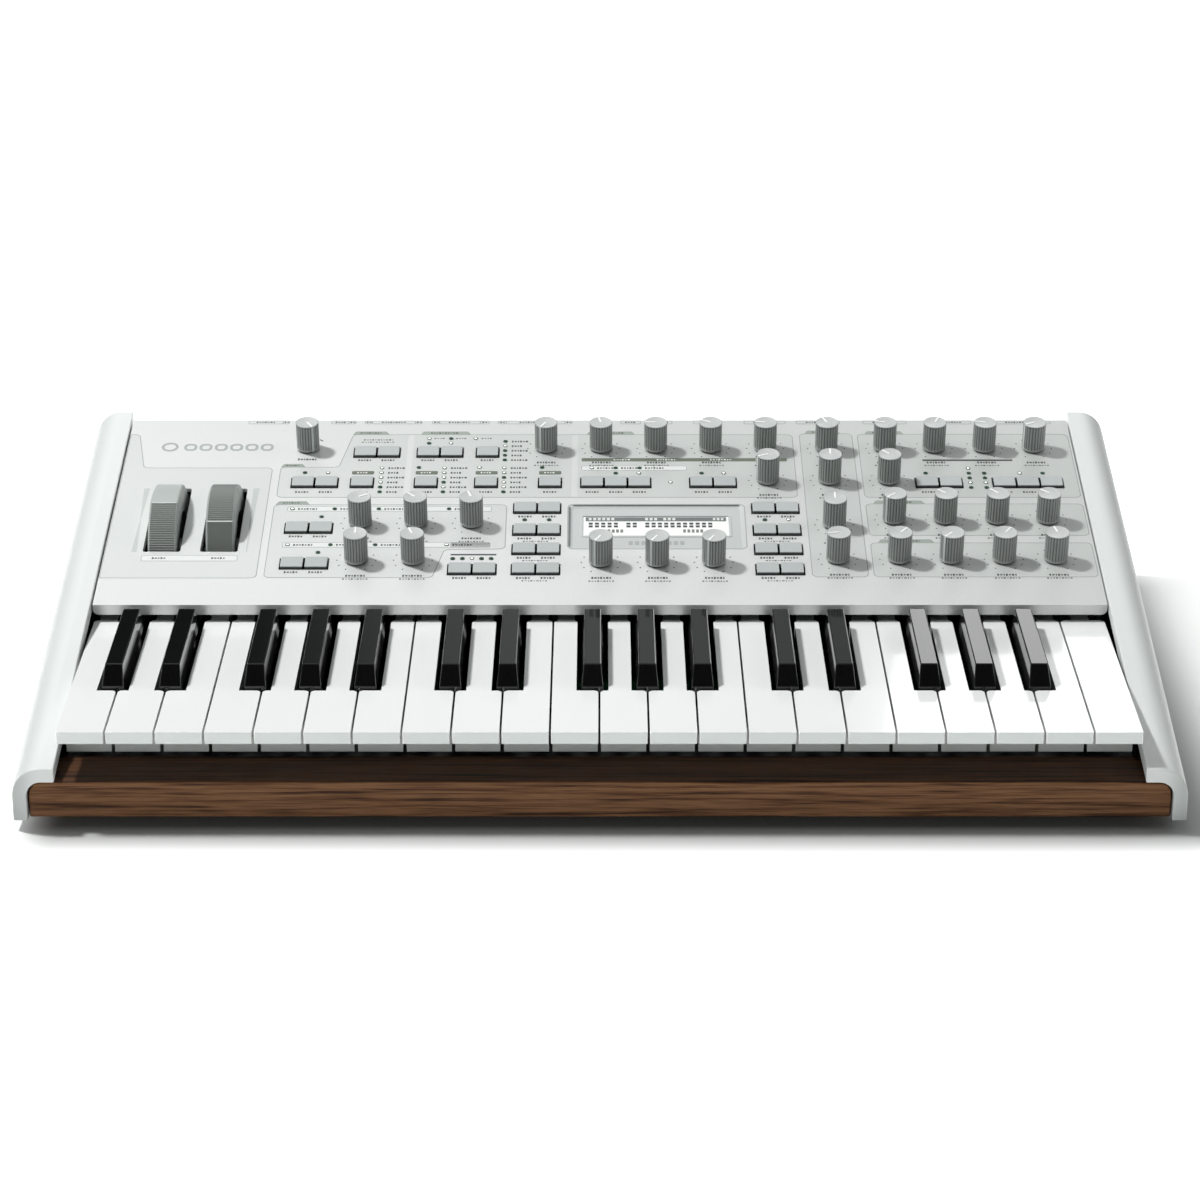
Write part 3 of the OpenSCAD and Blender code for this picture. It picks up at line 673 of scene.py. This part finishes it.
# The pointer's two stretches as (paint, width, its outer face as (distance from the knob's axis, height))
POINTER = [
    ("pointer", 0.9, [
        (0.2, KNOB_TOP + 0.12), (KNOB_R - 0.5, KNOB_TOP + 0.12), (KNOB_R - 0.1, KNOB_TOP - 0.2),
    ]),
    # Down the side the white pointer is painted grey: painted shade
    ("pointer_side", 1.3, [
        (KNOB_R - 0.05, KNOB_TOP - 0.2), (KNOB_R + 0.1, KNOB_TOP - 0.6),
        (KNOB_R + 0.1, KNOB_SKIRT_TOP), (KNOB_R + 0.06, KNOB_LOW + 0.4),
    ]),
]
POINTER_DEPTH = 1.0
SHAFT_R = 3.0
SHAFT_CHAMFER = 0.3
SHAFT_LOW = -9.5
SHAFT_HIGH = 1.2


def fluted_ring(radius, height, depth):
    """A ring whose radius dips at each flute."""
    count = FLUTES * FLUTE_STEPS
    ring = []
    for i in range(count):
        turn = 2 * pi * i / count
        dip = depth * (0.5 - 0.5 * cos(FLUTES * turn)) ** 2.2
        ring.append(((radius - dip) * cos(turn), (radius - dip) * sin(turn), height))
    return ring


def knob_solid():
    """A fluted cap with a plain skirt, and a raised pointer from the middle of the top down the side."""
    solid = Solid()
    rings = [fluted_ring(*row[:3]) for row in KNOB_PROFILE]
    solid.loft(rings, paints=[KNOB_PAINTS.index(row[3]) for row in KNOB_PROFILE])
    faces = FLUTES * FLUTE_STEPS
    for band, paint in FLUTE_PAINTS.items():
        for face in range(band * faces, (band + 1) * faces):
            if face % FLUTE_STEPS in FLUTE_MIDDLE:
                solid.paints[face] = KNOB_PAINTS.index(paint)
    for paint, width, path in POINTER:
        solid.loft([pointer_section(*point, width) for point in path], KNOB_PAINTS.index(paint))
    return solid


def pointer_section(reach, height, width):
    """A slice across the pointer, which points along +Y and is sunk into the knob."""
    half = width / 2
    inner = max(reach - POINTER_DEPTH, 0.0)
    low = height - POINTER_DEPTH
    return [(-half, reach, height), (half, reach, height), (half, inner, low), (-half, inner, low)]


def shaft_solid():
    """The shaft under a knob."""
    solid = Solid()
    solid.loft([
        circle(0, 0, SHAFT_R - SHAFT_CHAMFER, SHAFT_LOW, 24),
        circle(0, 0, SHAFT_R, SHAFT_LOW + SHAFT_CHAMFER, 24),
        circle(0, 0, SHAFT_R, SHAFT_HIGH, 24),
    ])
    return solid


def add_knobs():
    paints = [PAINT[name] for name in KNOB_PAINTS]
    for node, (across, up, turn) in TURNING_KNOBS.items():
        place = on_panel(across, up, 0, turn)
        cap = make(node + "_cap", knob_solid(), paints, node, place)
        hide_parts(node)
        make(node + "_shaft", shaft_solid(), [PAINT["steel"]], node, place)
    for i, (across, up, turn) in enumerate(FIXED_KNOBS, 1):
        place = on_panel(across, up, 0, turn)
        cap = make("knob_cap_%02d" % i, knob_solid(), paints, CASE, place)
        if i == 1:
            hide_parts("fixed_knobs")


# ---- Wheels ----

WHEEL_R = 36.0
WHEEL_HALF_WIDTH = 7.5
WHEEL_BORE_R = 3.06
RIB_STEP = 2.0
RIB_DEPTH = 0.3
FLAT_DEPTH = 0.45
SCOOP_DEPTH = 4.2
# Each side of a wheel, with its hollow, as (depth, radius), and then the edge of its rim as (depth, inset)
SIDE_PROFILE = [(0, WHEEL_BORE_R), (0, 7), (2.8, 7.4), (2.8, WHEEL_R - 14.4), (0, WHEEL_R - 14)]
RIM_EDGE_PROFILE = [(0, 1.1), (0.3, 0.45), (1.0, 0)]
# The rim's grey is partly painted shade; the facet and the sides are lighter copies of it, painted light
WHEEL_PAINTS = ["wheel", "wheel_facet", "wheel_edge", "wheel_side"]
# The crease of each rim, the edge stretch, is painted bright as a painted highlight
RIM_PAINTS = {"ribs": 0, "scoop": 0, "flat": 1, "edge": 2}
SIDE_PAINT = 3
# Stretches of each wheel's rim, as (from, to, kind), in degrees from the panel's normal towards the back
RIMS = {
    "pitch_wheel": [(-82, -12.6, "ribs"), (-12.6, -11.8, "edge"), (-11.8, 34, "flat"), (34, 80, "ribs")],
    "mod_wheel": [(-82, -32, "scoop"), (-32, -31.1, "edge"), (-31.1, 62, "ribs")],
}


def rim_drop(kind, start, end, turn):
    """How far the rim lies inside the full radius there."""
    if kind == "edge":
        return 0.0
    if kind == "ribs":
        return RIB_DEPTH * abs(sin(pi * (turn - start) / RIB_STEP)) ** 0.7
    middle = radians((start + end) / 2)
    if kind == "flat":
        half = radians((end - start) / 2)
        return WHEEL_R * (1 - cos(half) / cos(radians(turn) - middle)) * FLAT_DEPTH
    return SCOOP_DEPTH * sin(pi * (turn - start) / (end - start)) ** 0.8


def rim_profile(wheel):
    """The rim all the way round, as (turn in radians, radius), and the paint of each step of it."""
    profile = []
    paints = []
    for start, end, kind in RIMS[wheel]:
        step = RIB_STEP / 6 if kind == "ribs" else 2.5
        count = max(int((end - start) / step), 1)
        for i in range(count):
            turn = start + (end - start) * i / count
            profile.append((radians(turn), WHEEL_R - rim_drop(kind, start, end, turn)))
            paints.append(RIM_PAINTS[kind])
    last = RIMS[wheel][-1][1]
    first = RIMS[wheel][0][0] + 360
    count = int((first - last) / 5)
    profile += [(radians(last + (first - last) * i / count), WHEEL_R) for i in range(count)]
    return profile, paints + [0] * count


def wheel_side(profile, side):
    """Slices across one side of the wheel, from the bore out to the rim."""
    slices = [(depth, [radius] * len(profile)) for depth, radius in SIDE_PROFILE]
    slices += [(depth, [rim - inset for turn, rim in profile]) for depth, inset in RIM_EDGE_PROFILE]
    rings = []
    for depth, reaches in slices:
        x = side * (WHEEL_HALF_WIDTH - depth)
        turns = [turn for turn, rim in profile]
        rings.append([(x, reach * sin(turn), reach * cos(turn)) for turn, reach in zip(turns, reaches)])
    return rings


def wheel_solid(wheel):
    profile, rim_paints = rim_profile(wheel)
    left = wheel_side(profile, -1)
    right = wheel_side(profile, 1)
    solid = Solid()
    bands = [SIDE_PAINT] * (len(left) - 1)
    solid.loft(left + right[::-1], closed=True, paints=bands + [0] + bands + [0])
    rim_start = len(bands) * len(profile)
    for i, paint in enumerate(rim_paints):
        solid.paints[rim_start + i] = paint
    return solid


def add_wheels():
    for wheel, across in WHEEL_PLACES.items():
        place = on_panel(across, WHEEL_UP, -WHEEL_DROP)
        paints = [PAINT[name] for name in WHEEL_PAINTS]
        piece = make(wheel + "_ribbed", wheel_solid(wheel), paints, wheel, place, sharp=25)
        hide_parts(wheel)


# ---- Lights ----

LENS_R = 1.22
LENS_LOW = -0.6
LENS_HIGH = 0.5


def add_lights_on_panel():
    lit_places = list(LIT_LEDS)
    dark_places = list(DARK_LEDS)
    for across, top, count, lit_ones in LED_COLUMNS:
        for i in range(count):
            (lit_places if i in lit_ones else dark_places).append((across, top - i * LED_PITCH))
    rows = (("lights_on", lit_places, "lens_lit"), ("lights_off", dark_places, "lens_dark"))
    for name, places, paint in rows:
        solid = Solid()
        for across, up in places:
            solid.dome(across, up, LENS_R, LENS_LOW, LENS_HIGH)
        add_to_case(name, solid, paint)


# ---- Printing on the top panel ----

LINE_WIDTH = 0.45
AREA_CORNER = 3.0
EDGE_X = 258.9

AREAS = {
    "wheels": [(-EDGE_X, 25.5), (-178, 25.5), (-178, 136.3), (-248, 136.3), (-254, 172), (-EDGE_X, 172)],
    "sound": [(-173.5, 105.6), (106, 105.6), (106, 172), (-136, 172), (-142, 137), (-173.5, 137)],
    "effects": [(-174, 25.8), (-87, 25.8), (-81.5, 53), (-49.8, 53.7), (-49.8, 98), (-174, 98)],
    "mixer": box_corners((110, 26.5, 139, 173)),
    "filter": box_corners((142, 105.5, 258, 172.4)),
    "filter_envelope": box_corners((142, 67, 258, 98.8)),
    "amplifier_envelope": box_corners((142, 26.5, 258, 59.6)),
}
# Small tabs on the areas' upper edges, as (left, right, front)
TABS = [(-173.5, -162, 137), (-136.4, -118, 172), (-99, -73, 172), (-7.5, 17.5, 172), (-173.3, -157, 98),
        (113, 131, 173), (146, 166, 172.4), (146, 172, 98.8), (146, 174, 59.6)]
TAB_DEPTH = 3.4
# Pale gaps that divide the sound area
DIVIDERS = [-104, -13.8]
# White bars with an outline, as (left, front, right, back)
WHITE_BARS = [(-239.3, 41.8, -189.3, 47.2), (-166.6, 91.4, -57.8, 96), (-166.6, 55.3, -57.8, 59.9),
              (-10, 133.8, 47, 138.2), (-78.4, 55.7, -57.9, 59.7)]
# Dark bars: over the selector buttons, under the oscillator and filter knobs, over the transpose lights
CHIPS = [(x - 6, 129.3, x + 6, 132.9) for x in (-128.5, -94, -61.5, -27)]
CHIPS += [(-10, 143.2, 102, 146.6)]
THIN_BARS = [(-78, 47.4, -54.2, 48.6), (176, 143.6, 225, 145.2)]
BAR_CORNER = 0.8
CHIP_CORNER = 0.7
# Pale wedges beside the wheels, by their corners
WEDGE_LOW = WHEEL_UP - 32
WEDGE_HIGH = WHEEL_UP + 32
WEDGES = [
    [(-245.4, WEDGE_HIGH), (-242.3, WEDGE_HIGH), (-243.7, WHEEL_UP), (-244.1, WHEEL_UP)],
    [(-244.1, WHEEL_UP), (-243.7, WHEEL_UP), (-242.5, WEDGE_LOW), (-245.1, WEDGE_LOW)],
    [(-186.5, WEDGE_HIGH), (-183.4, WEDGE_HIGH), (-184.8, WEDGE_LOW), (-185.2, WEDGE_LOW)],
]
SCALE_RADIUS = 10.1
SCALE_DOT_R = 0.42


def add_areas():
    """The tinted areas, cut out round the buttons, with their outlines."""
    areas = Solid()
    lines = Solid()
    for corners in AREAS.values():
        outline = round_corners(corners, [0 if abs(x) == EDGE_X else AREA_CORNER for x, s in corners])
        areas.prism(outline, high=AREA_TOP)
        lines.ribbon(outline, LINE_WIDTH, high=LINE_TOP)
    holes = Solid()
    for across, up in button_places():
        reach_x = BUTTON_HALF[0] + BUTTON_CLEAR
        reach_s = BUTTON_HALF[1] + BUTTON_CLEAR
        holes.bar((across - reach_x, up - reach_s, across + reach_x, up + reach_s), -1, 1)
    for across in WHEEL_PLACES.values():
        reach_x, reach_s = WHEEL_SLOT_HALF
        holes.bar((across - reach_x, WHEEL_UP - reach_s, across + reach_x, WHEEL_UP + reach_s), -1, 1)
    for divider in DIVIDERS:
        holes.bar((divider - 1.6, 105.9, divider + 1.6, 171.7), -1, 1)
    sheet = add_to_case("panel_tint", areas, "ink_area")
    cutter = make("cutter", holes, [], CASE, PANEL)
    cut_away(sheet, cutter)
    for box in WHITE_BARS:
        lines.ribbon(box_outline(box, BAR_CORNER), 0.35)
    add_to_case("panel_outlines", lines, "ink_line")


def cut_away(piece, cutter):
    """Cuts the cutter's solids out of the piece, and removes the cutter."""
    cut = piece.modifiers.new("cut", "BOOLEAN")
    cut.operation = "DIFFERENCE"
    cut.solver = "EXACT"
    cut.use_self = True
    cut.object = cutter
    bpy.context.view_layer.update()
    shown = piece.evaluated_get(bpy.context.evaluated_depsgraph_get())
    mesh = bpy.data.meshes.new_from_object(shown)
    mesh.shade_flat()
    piece.modifiers.clear()
    piece.data = mesh
    bpy.data.objects.remove(cutter)


def print_shapes(name, outlines, high, paint):
    """Filled outlines on the panel, as one piece."""
    solid = Solid()
    for outline in outlines:
        solid.prism(outline, high=high)
    add_to_case(name, solid, paint)


def add_bars():
    """Tabs, white bars, dark bars and the pale wedges beside the wheels."""
    tabs = []
    for left, right, front in TABS:
        low = front - 0.2
        high = front + TAB_DEPTH
        corners = [(left, low), (right + 2, low), (right, high), (left + 1.5, high)]
        tabs.append(round_corners(corners, [0, 0, 1.2, 1.5]))
    print_shapes("panel_tabs", tabs, MARK_TOP, "ink_tab")
    white = [box_outline(box, BAR_CORNER) for box in WHITE_BARS]
    print_shapes("panel_white_bars", white, LINE_TOP, "ink_bar")
    print_shapes("panel_dark_bars", [box_outline(box, CHIP_CORNER) for box in CHIPS], LINE_TOP, "ink_chip")
    print_shapes("wheel_wedges", WEDGES, LINE_TOP, "ink_wedge")


DASH_LENGTHS = (0.9, 1.2, 0.6, 1.0)
DASH_INSETS = (0.0, 0.3, 0.1)
DASH_GAP = 0.6


def add_dashes(solid, middle, up, width, height=1.8):
    """A run of short dashes in place of a printed label. They stand for no letters."""
    left = middle - width / 2
    step = 0
    while left < middle + width / 2 - 0.4:
        length = DASH_LENGTHS[step % len(DASH_LENGTHS)]
        reach = height / 2 - DASH_INSETS[step % len(DASH_INSETS)]
        solid.bar((left, up - reach, left + length, up + reach))
        left += length + DASH_GAP
        step += 1


def add_knob_marks(marks):
    """Scale dots and two labels for each knob. The volume knob has one label and a tick."""
    knobs = [(x, s) for x, s, turn in FIXED_KNOBS] + [(x, s) for x, s, turn in TURNING_KNOBS.values()]
    volume = TURNING_KNOBS["volume_knob"][:2]
    knobs.remove(volume)
    for across, up in knobs:
        for turn in map(radians, range(-150, 151, 30)):
            x = across + SCALE_RADIUS * sin(turn)
            s = up + SCALE_RADIUS * cos(turn)
            marks.prism(flat_circle(x, s, SCALE_DOT_R, 8))
        add_dashes(marks, across + 0.4, up - 15.0, 10.5)
        add_dashes(marks, across + 0.2, up - 18.1, 13, 1.0)
    add_dashes(marks, volume[0] + 0.4, volume[1] - 11.7, 10.5)
    tick_x = volume[0] + 6.6
    tick_s = volume[1] + 8.8
    tick = [(tick_x - 0.9, tick_s + 0.8), (tick_x + 0.9, tick_s - 0.8)]
    marks.ribbon(tick, 0.7, closed=False)


def add_button_marks(marks):
    """A label under each button, and a second one under the pairs beside the display."""
    for across, up in button_places():
        add_dashes(marks, across + 0.2, up - (9.5 if up == SELECTOR_ROW else 8.1), 7.5)
    for across, up, count in PAIRS_BY_DISPLAY:
        if up < 90:
            add_dashes(marks, across, up - 10.8, 14, 0.9)


def add_light_marks(marks):
    """Labels to the right of the light columns and of the lights in the white bars."""
    for across, top, count, lit_ones in LED_COLUMNS:
        if across < 190:
            for i in range(count):
                odd = i % 2
                add_dashes(marks, across + 7.7 - 1.2 * odd, top - i * LED_PITCH, 8.3 - 2.4 * odd)
    for across, up in LIT_LEDS + DARK_LEDS:
        if up in (93.5, 57.5, 136) and across > -170:
            add_dashes(marks, across + 8.5, up, 11)
    for across in (-88, -76, -62):
        add_dashes(marks, across, 167.9, 6.5, 1.0)


def add_marks():
    """Dots and dashes beside the controls, on the dark bars and on the tabs."""
    marks = Solid()
    add_knob_marks(marks)
    add_button_marks(marks)
    add_light_marks(marks)
    add_dashes(marks, -122, 166.3, 16, 1.1)
    add_dashes(marks, -122, 163.8, 18, 0.9)
    for across in (-230, -199):
        add_dashes(marks, across, 44.5, 7.5)
    for box in THIN_BARS:
        marks.bar(box)
    add_to_case("panel_marks", marks, "ink_dark")
    pale = Solid()
    for left, front, right, back in CHIPS[:4]:
        add_dashes(pale, (left + right) / 2, (front + back) / 2, 6.5, 1.3)
    for across, width in ((12, 9), (36, 10), (66, 12), (90, 10)):
        add_dashes(pale, across, 144.9, width, 1.3)
    add_to_case("panel_pale_marks", pale, "ink_pale", on_panel(0, 0, PRINT_LIFT))
    on_tabs = Solid()
    for left, right, front in TABS:
        add_dashes(on_tabs, (left + right) / 2 + 0.5, front + TAB_DEPTH / 2, (right - left) * 0.6, 1.2)
    add_to_case("tab_marks", on_tabs, "ink_dark", on_panel(0, 0, PRINT_LIFT))


# The row of connector labels along the panel's back edge: boxes as (left, right), some narrow
CONNECTOR_BOXES = [
    (-195, -176), (-176, -172.5), (-149, -139.5), (-139.5, -135.5), (-130.5, -126.5), (-126.5, -102.5),
    (-102.5, -99), (-93, -89), (-89, -66.5), (-66.5, -61.5), (-56.5, -52), (-52, -19.5), (-19.5, -15.5),
    (11.5, 22.5), (30, 40), (52, 67), (80, 103), (109, 133), (146, 170), (182, 206), (218, 250),
]


def add_connector_labels():
    lines = Solid()
    marks = Solid()
    for left, right in CONNECTOR_BOXES:
        lines.ribbon(box_outline((left, 183.9, right, 187.2), BAR_CORNER), 0.3)
        add_dashes(marks, (left + right) / 2, 185.6, max((right - left) * 0.55, 1.6), 1.2)
    add_to_case("connector_boxes", lines, "ink_line")
    add_to_case("connector_marks", marks, "ink_dark")


EMBLEM_STROKE = 1.5
EMBLEM_RING = (-236, 158.6, 3.9)
EMBLEM_BARS = 6
EMBLEM_FIRST_BAR = (-227.5, 155.4, -221.9, 161.2)
EMBLEM_PITCH = 8.4


def add_emblem():
    """A plain ring and bars where a maker would print a name."""
    emblem = Solid()
    emblem.ribbon(flat_circle(*EMBLEM_RING, 40), EMBLEM_STROKE)
    left, front, right, back = EMBLEM_FIRST_BAR
    for i in range(EMBLEM_BARS):
        shift = i * EMBLEM_PITCH
        block = box_outline((left + shift, front, right + shift, back), 2.2)
        emblem.ribbon(block, EMBLEM_STROKE)
    add_to_case("emblem", emblem, "ink_emblem")


# ---- Display ----

DISPLAY_CORNER = 3
DISPLAY_SLOPE = 2.4
DISPLAY_LOW = -DISPLAY_DROP
# Rows of blocks on the screen as (left, middle, how many, width, height, which are left out)
SCREEN_BLOCKS = [(-6, 79.6, 20, 2.35, 4.6, (5, 8)), (44, 73.6, 5, 1.6, 2.8, ()), (4, 73.6, 4, 1.6, 2.8, ())]
HEADER_BLOCKS = [(-6, 85.4, 6, 1.7, 2.2, ()), (24, 85.4, 7, 1.7, 2.2, (3,)), (60, 85.4, 3, 1.5, 2.0, ())]
PLATE_BLOCKS = [(15 + i * 3.4, 59.6, 17.2 + i * 3.4, 63.2) for i in range(9)]


def add_display():
    """The bevelled recess, with painted shade along its left and back inside edges."""
    left, front, right, back = DISPLAY_BOX
    outer = box_outline(grow(DISPLAY_BOX, -0.05), DISPLAY_CORNER)
    inner = box_outline(grow(DISPLAY_BOX, -DISPLAY_SLOPE), DISPLAY_CORNER - 1)
    bezel = Solid()
    bezel.loft(
        [
            [(x, s, DISPLAY_LOW - 0.1) for x, s in outer],
            [(x, s, 0.02) for x, s in outer],
            [(x * 0.995 + 0.15, s * 0.998 + 0.15, 0.02) for x, s in outer],
            [(x, s, DISPLAY_LOW + 0.04) for x, s in inner],
            [(x, s, DISPLAY_LOW - 0.1) for x, s in inner],
        ],
        closed=True,
    )
    add_to_case("display_bezel", bezel, "display")
    edge = Solid()
    edge.ribbon(box_outline(grow(DISPLAY_BOX, 0.1), DISPLAY_CORNER), LINE_WIDTH)
    add_to_case("display_edge", edge, "ink_line")
    # Painted shade: dark bars along the left and back inside edges of the recess
    recess = Solid()
    recess.bar((left + 0.25, front + 2.5, left + 1.15, back - 2.5), DISPLAY_LOW, 0.035)
    recess.bar((left + 2.5, back - 1.0, right - 2.5, back - 0.25), DISPLAY_LOW, 0.035)
    add_to_case("display_recess_painted_shade", recess, "screen_bar", bevel=0.1)


def add_screen():
    """The backlit screen, its rim, generic marks on it, and a row of plain blocks below it."""
    left, front, right, back = WINDOW_BOX
    rim = Solid()
    rim.ribbon(box_outline(grow(WINDOW_BOX, 0.7), 0.8), 1.4, DISPLAY_LOW - 0.4, DISPLAY_LOW + 0.3)
    add_to_case("screen_rim", rim, "display", bevel=0.15)
    screen = Solid()
    screen.prism(box_outline(grow(WINDOW_BOX, -0.05), 0.3), DISPLAY_LOW - 1.2, DISPLAY_LOW - 0.2)
    add_to_case("screen", screen, "screen", bevel=0.1)
    header = Solid()
    header.bar((left + 1.4, back - 4.6, right - 1.4, back - 0.6), DISPLAY_LOW - 0.3, DISPLAY_LOW - 0.12)
    add_to_case("screen_header", header, "screen_bar")
    add_to_case("screen_segments", blocks(SCREEN_BLOCKS), "screen_ink", on_panel(0, 0, DISPLAY_LOW - 0.12))
    add_to_case("screen_pale_segments", blocks(HEADER_BLOCKS), "screen", on_panel(0, 0, DISPLAY_LOW - 0.04))
    plate = Solid()
    for box in PLATE_BLOCKS:
        plate.bar(box, DISPLAY_LOW - 0.05, DISPLAY_LOW + 0.06)
    add_to_case("display_plate", plate, "ink_emblem")


def blocks(rows):
    """Rows of plain blocks, each split across its middle. They stand for no characters."""
    solid = Solid()
    for left, middle, count, width, height, gaps in rows:
        for i in range(count):
            x = left + i * width * 1.42
            for low in (middle - height / 2, middle + height * 0.1):
                if i not in gaps:
                    solid.bar((x, low, x + width * 0.9, low + height * 0.4), PRINT_LOW, 0.03)
    return solid


# ---- Back ----

# The plastic in a round socket, as (radius, height over the rear panel), and its pins
INSERT_PROFILE = [(6.6, -6.6), (6.6, -2.2), (6.2, -1.9)]
PIN_CIRCLE_R = 4.2
PIN_TURNS = range(0, 181, 45)


def facing_back():
    """The place on the rear panel's middle, at the connectors' height, whose own +Z looks to the back."""
    place = Vector((0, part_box("rear_panel")[1][1], SOCKET_HEIGHT * MM))
    upright = Matrix.Rotation(radians(-90), 4, "X") @ Matrix.Rotation(pi, 4, "Z")
    return Matrix.Translation(place) @ upright


def add_rear_details():
    """Plastic inserts and contacts inside the connectors, and generic marks above them."""
    marks = Solid()
    for across in JACKS + PHONO_SOCKETS + ROUND_SOCKETS + [DATA_PORT, POWER_INLET]:
        add_dashes(marks, -across, 13.5, 9, 1.4)
        marks.ribbon(box_outline((-across - 7, 11.8, -across + 7, 15.2), BAR_CORNER), 0.3)
    add_to_case("rear_marks", marks, "ink_dark", facing_back())
    collars = Solid()
    for across in JACKS:
        collars.ribbon(flat_circle(-across, 0, 3.7, 32), 0.8, 3.6, 4.15)
    add_to_case("jack_collars", collars, "plug_black", facing_back())
    inserts = Solid()
    pins = Solid()
    for across in ROUND_SOCKETS:
        inserts.loft([circle(-across, 0, radius, height, 36) for radius, height in INSERT_PROFILE])
        for turn in map(radians, PIN_TURNS):
            x = -across + PIN_CIRCLE_R * cos(turn)
            pins.dome(x, PIN_CIRCLE_R * sin(turn), 0.7, -2.4, -1.2, sides=12)
    for across in PHONO_SOCKETS:
        inserts.ribbon(flat_circle(-across, 0, 2.6, 32), 1.6, 4.2, 4.75)
    add_to_case("socket_inserts", inserts, "plug_black", facing_back())
    for i in range(4):
        left = -DATA_PORT - 2.4 + i * 1.3
        pins.bar((left, 1.62, left + 0.7, 1.9), -6, -1.5)
    add_to_case("socket_contacts", pins, "gold", facing_back())


# ---- Stage ----


def add_camera():
    camera = add_object("camera", bpy.data.cameras.new("camera"))
    camera.location = CAMERA_PLACE
    camera.rotation_euler = (CAMERA_TILT, 0, 0)
    camera.data.lens = CAMERA_LENS
    camera.data.sensor_width = CAMERA_SENSOR
    bpy.context.scene.camera = camera


def add_light(name, place, power, size, shape):
    """A soft light that shines at the middle of the object."""
    light = add_object(name, bpy.data.lights.new(name, "AREA"))
    light.location = place
    light.rotation_euler = Vector(place).to_track_quat("Z", "Y").to_euler()
    light.data.shape = shape
    light.data.energy = power
    light.data.size = size


def room():
    """A room that is paler on the left, with black flags behind the object and over its front."""
    world = bpy.data.worlds.new("room")
    world.use_nodes = True
    tree = world.node_tree
    background = tree.nodes["Background"]
    background.inputs["Strength"].default_value = ROOM_LIGHT
    direction = add_node(tree, "TexCoord", {}).outputs["Generated"]
    across, depth, up = list(axes_of(tree, direction))[:3]
    flag_behind = fade(tree, up, 0.17, 0.27)
    for faded in (fade(tree, up, 0.66, 0.50), fade(tree, depth, 0.25, 0.55), fade(tree, across, 0.0, -0.11)):
        flag_behind = calculate(tree, "MULTIPLY", flag_behind, faded)
    flag_in_front = fade(tree, depth, -0.15, -0.45)
    for faded in (fade(tree, up, 0.42, 0.56), fade(tree, up, 0.97, 0.91)):
        flag_in_front = calculate(tree, "MULTIPLY", flag_in_front, faded)
    flags = calculate(tree, "MAXIMUM", flag_behind, flag_in_front)
    blend = add_node(tree, "Mix", {"Factor": flags, "B": (*ROOM_FLAG_COLOUR, 1)}, data_type="RGBA")
    from_left = fade(tree, across, -0.25, 0.25)
    colour_between(tree, from_left, [(0.0, ROOM_LEFT_COLOUR), (1.0, ROOM_RIGHT_COLOUR)], blend.inputs["A"])
    tree.links.new(blend.outputs["Result"], background.inputs["Color"])
    return world


def floor_white():
    """A white floor that glows a little, with a painted shadow close round the object: darker there, and
    glowing less.
    """
    material, tree, shader = new_material("floor_white", Roughness=0.7, Emission_Color=(1, 1, 1, 1))
    axes = axes_of(tree, place_on_object(tree))
    squares = []
    for axis, middle, half in zip("XY", FLOOR_SHADE_MIDDLE, FLOOR_SHADE_HALF):
        apart = calculate(tree, "ABSOLUTE", calculate(tree, "SUBTRACT", axes[axis], middle))
        outside = calculate(tree, "MAXIMUM", calculate(tree, "SUBTRACT", apart, half), 0.0)
        squares.append(calculate(tree, "MULTIPLY", outside, outside))
    distance = calculate(tree, "SQRT", calculate(tree, "ADD", *squares))
    # Painted shadow: darker and glowing less close round the object
    clear = fade(tree, distance, 0.0, FLOOR_SHADE_FADE)
    colour_between(tree, clear, [(0.0, FLOOR_PAINTED_SHADOW_COLOUR), (1.0, FLOOR_COLOUR)], shader.inputs["Base Color"])
    glow = calculate(tree, "MULTIPLY", fade(tree, distance, 0.0, FLOOR_GLOW_FADE), FLOOR_GLOW)
    tree.links.new(glow, shader.inputs["Emission Strength"])
    return material


def add_stage():
    for light in LIGHTS:
        add_light(*light)
    bpy.context.scene.world = room()
    bpy.context.scene.view_settings.view_transform = "Standard"
    mesh = bpy.data.meshes.new("floor")
    corners = [(x * FLOOR_REACH, y * FLOOR_REACH, 0) for x, y in ((-1, -1), (1, -1), (1, 1), (-1, 1))]
    mesh.from_pydata(corners, [], [(0, 1, 2, 3)])
    mesh.materials.append(floor_white())
    add_object("floor", mesh)


paint_cad_nodes()
add_knobs()
add_wheels()
add_lights_on_panel()
add_areas()
add_bars()
add_marks()
add_connector_labels()
add_emblem()
add_display()
add_screen()
add_rear_details()
add_camera()
add_stage()
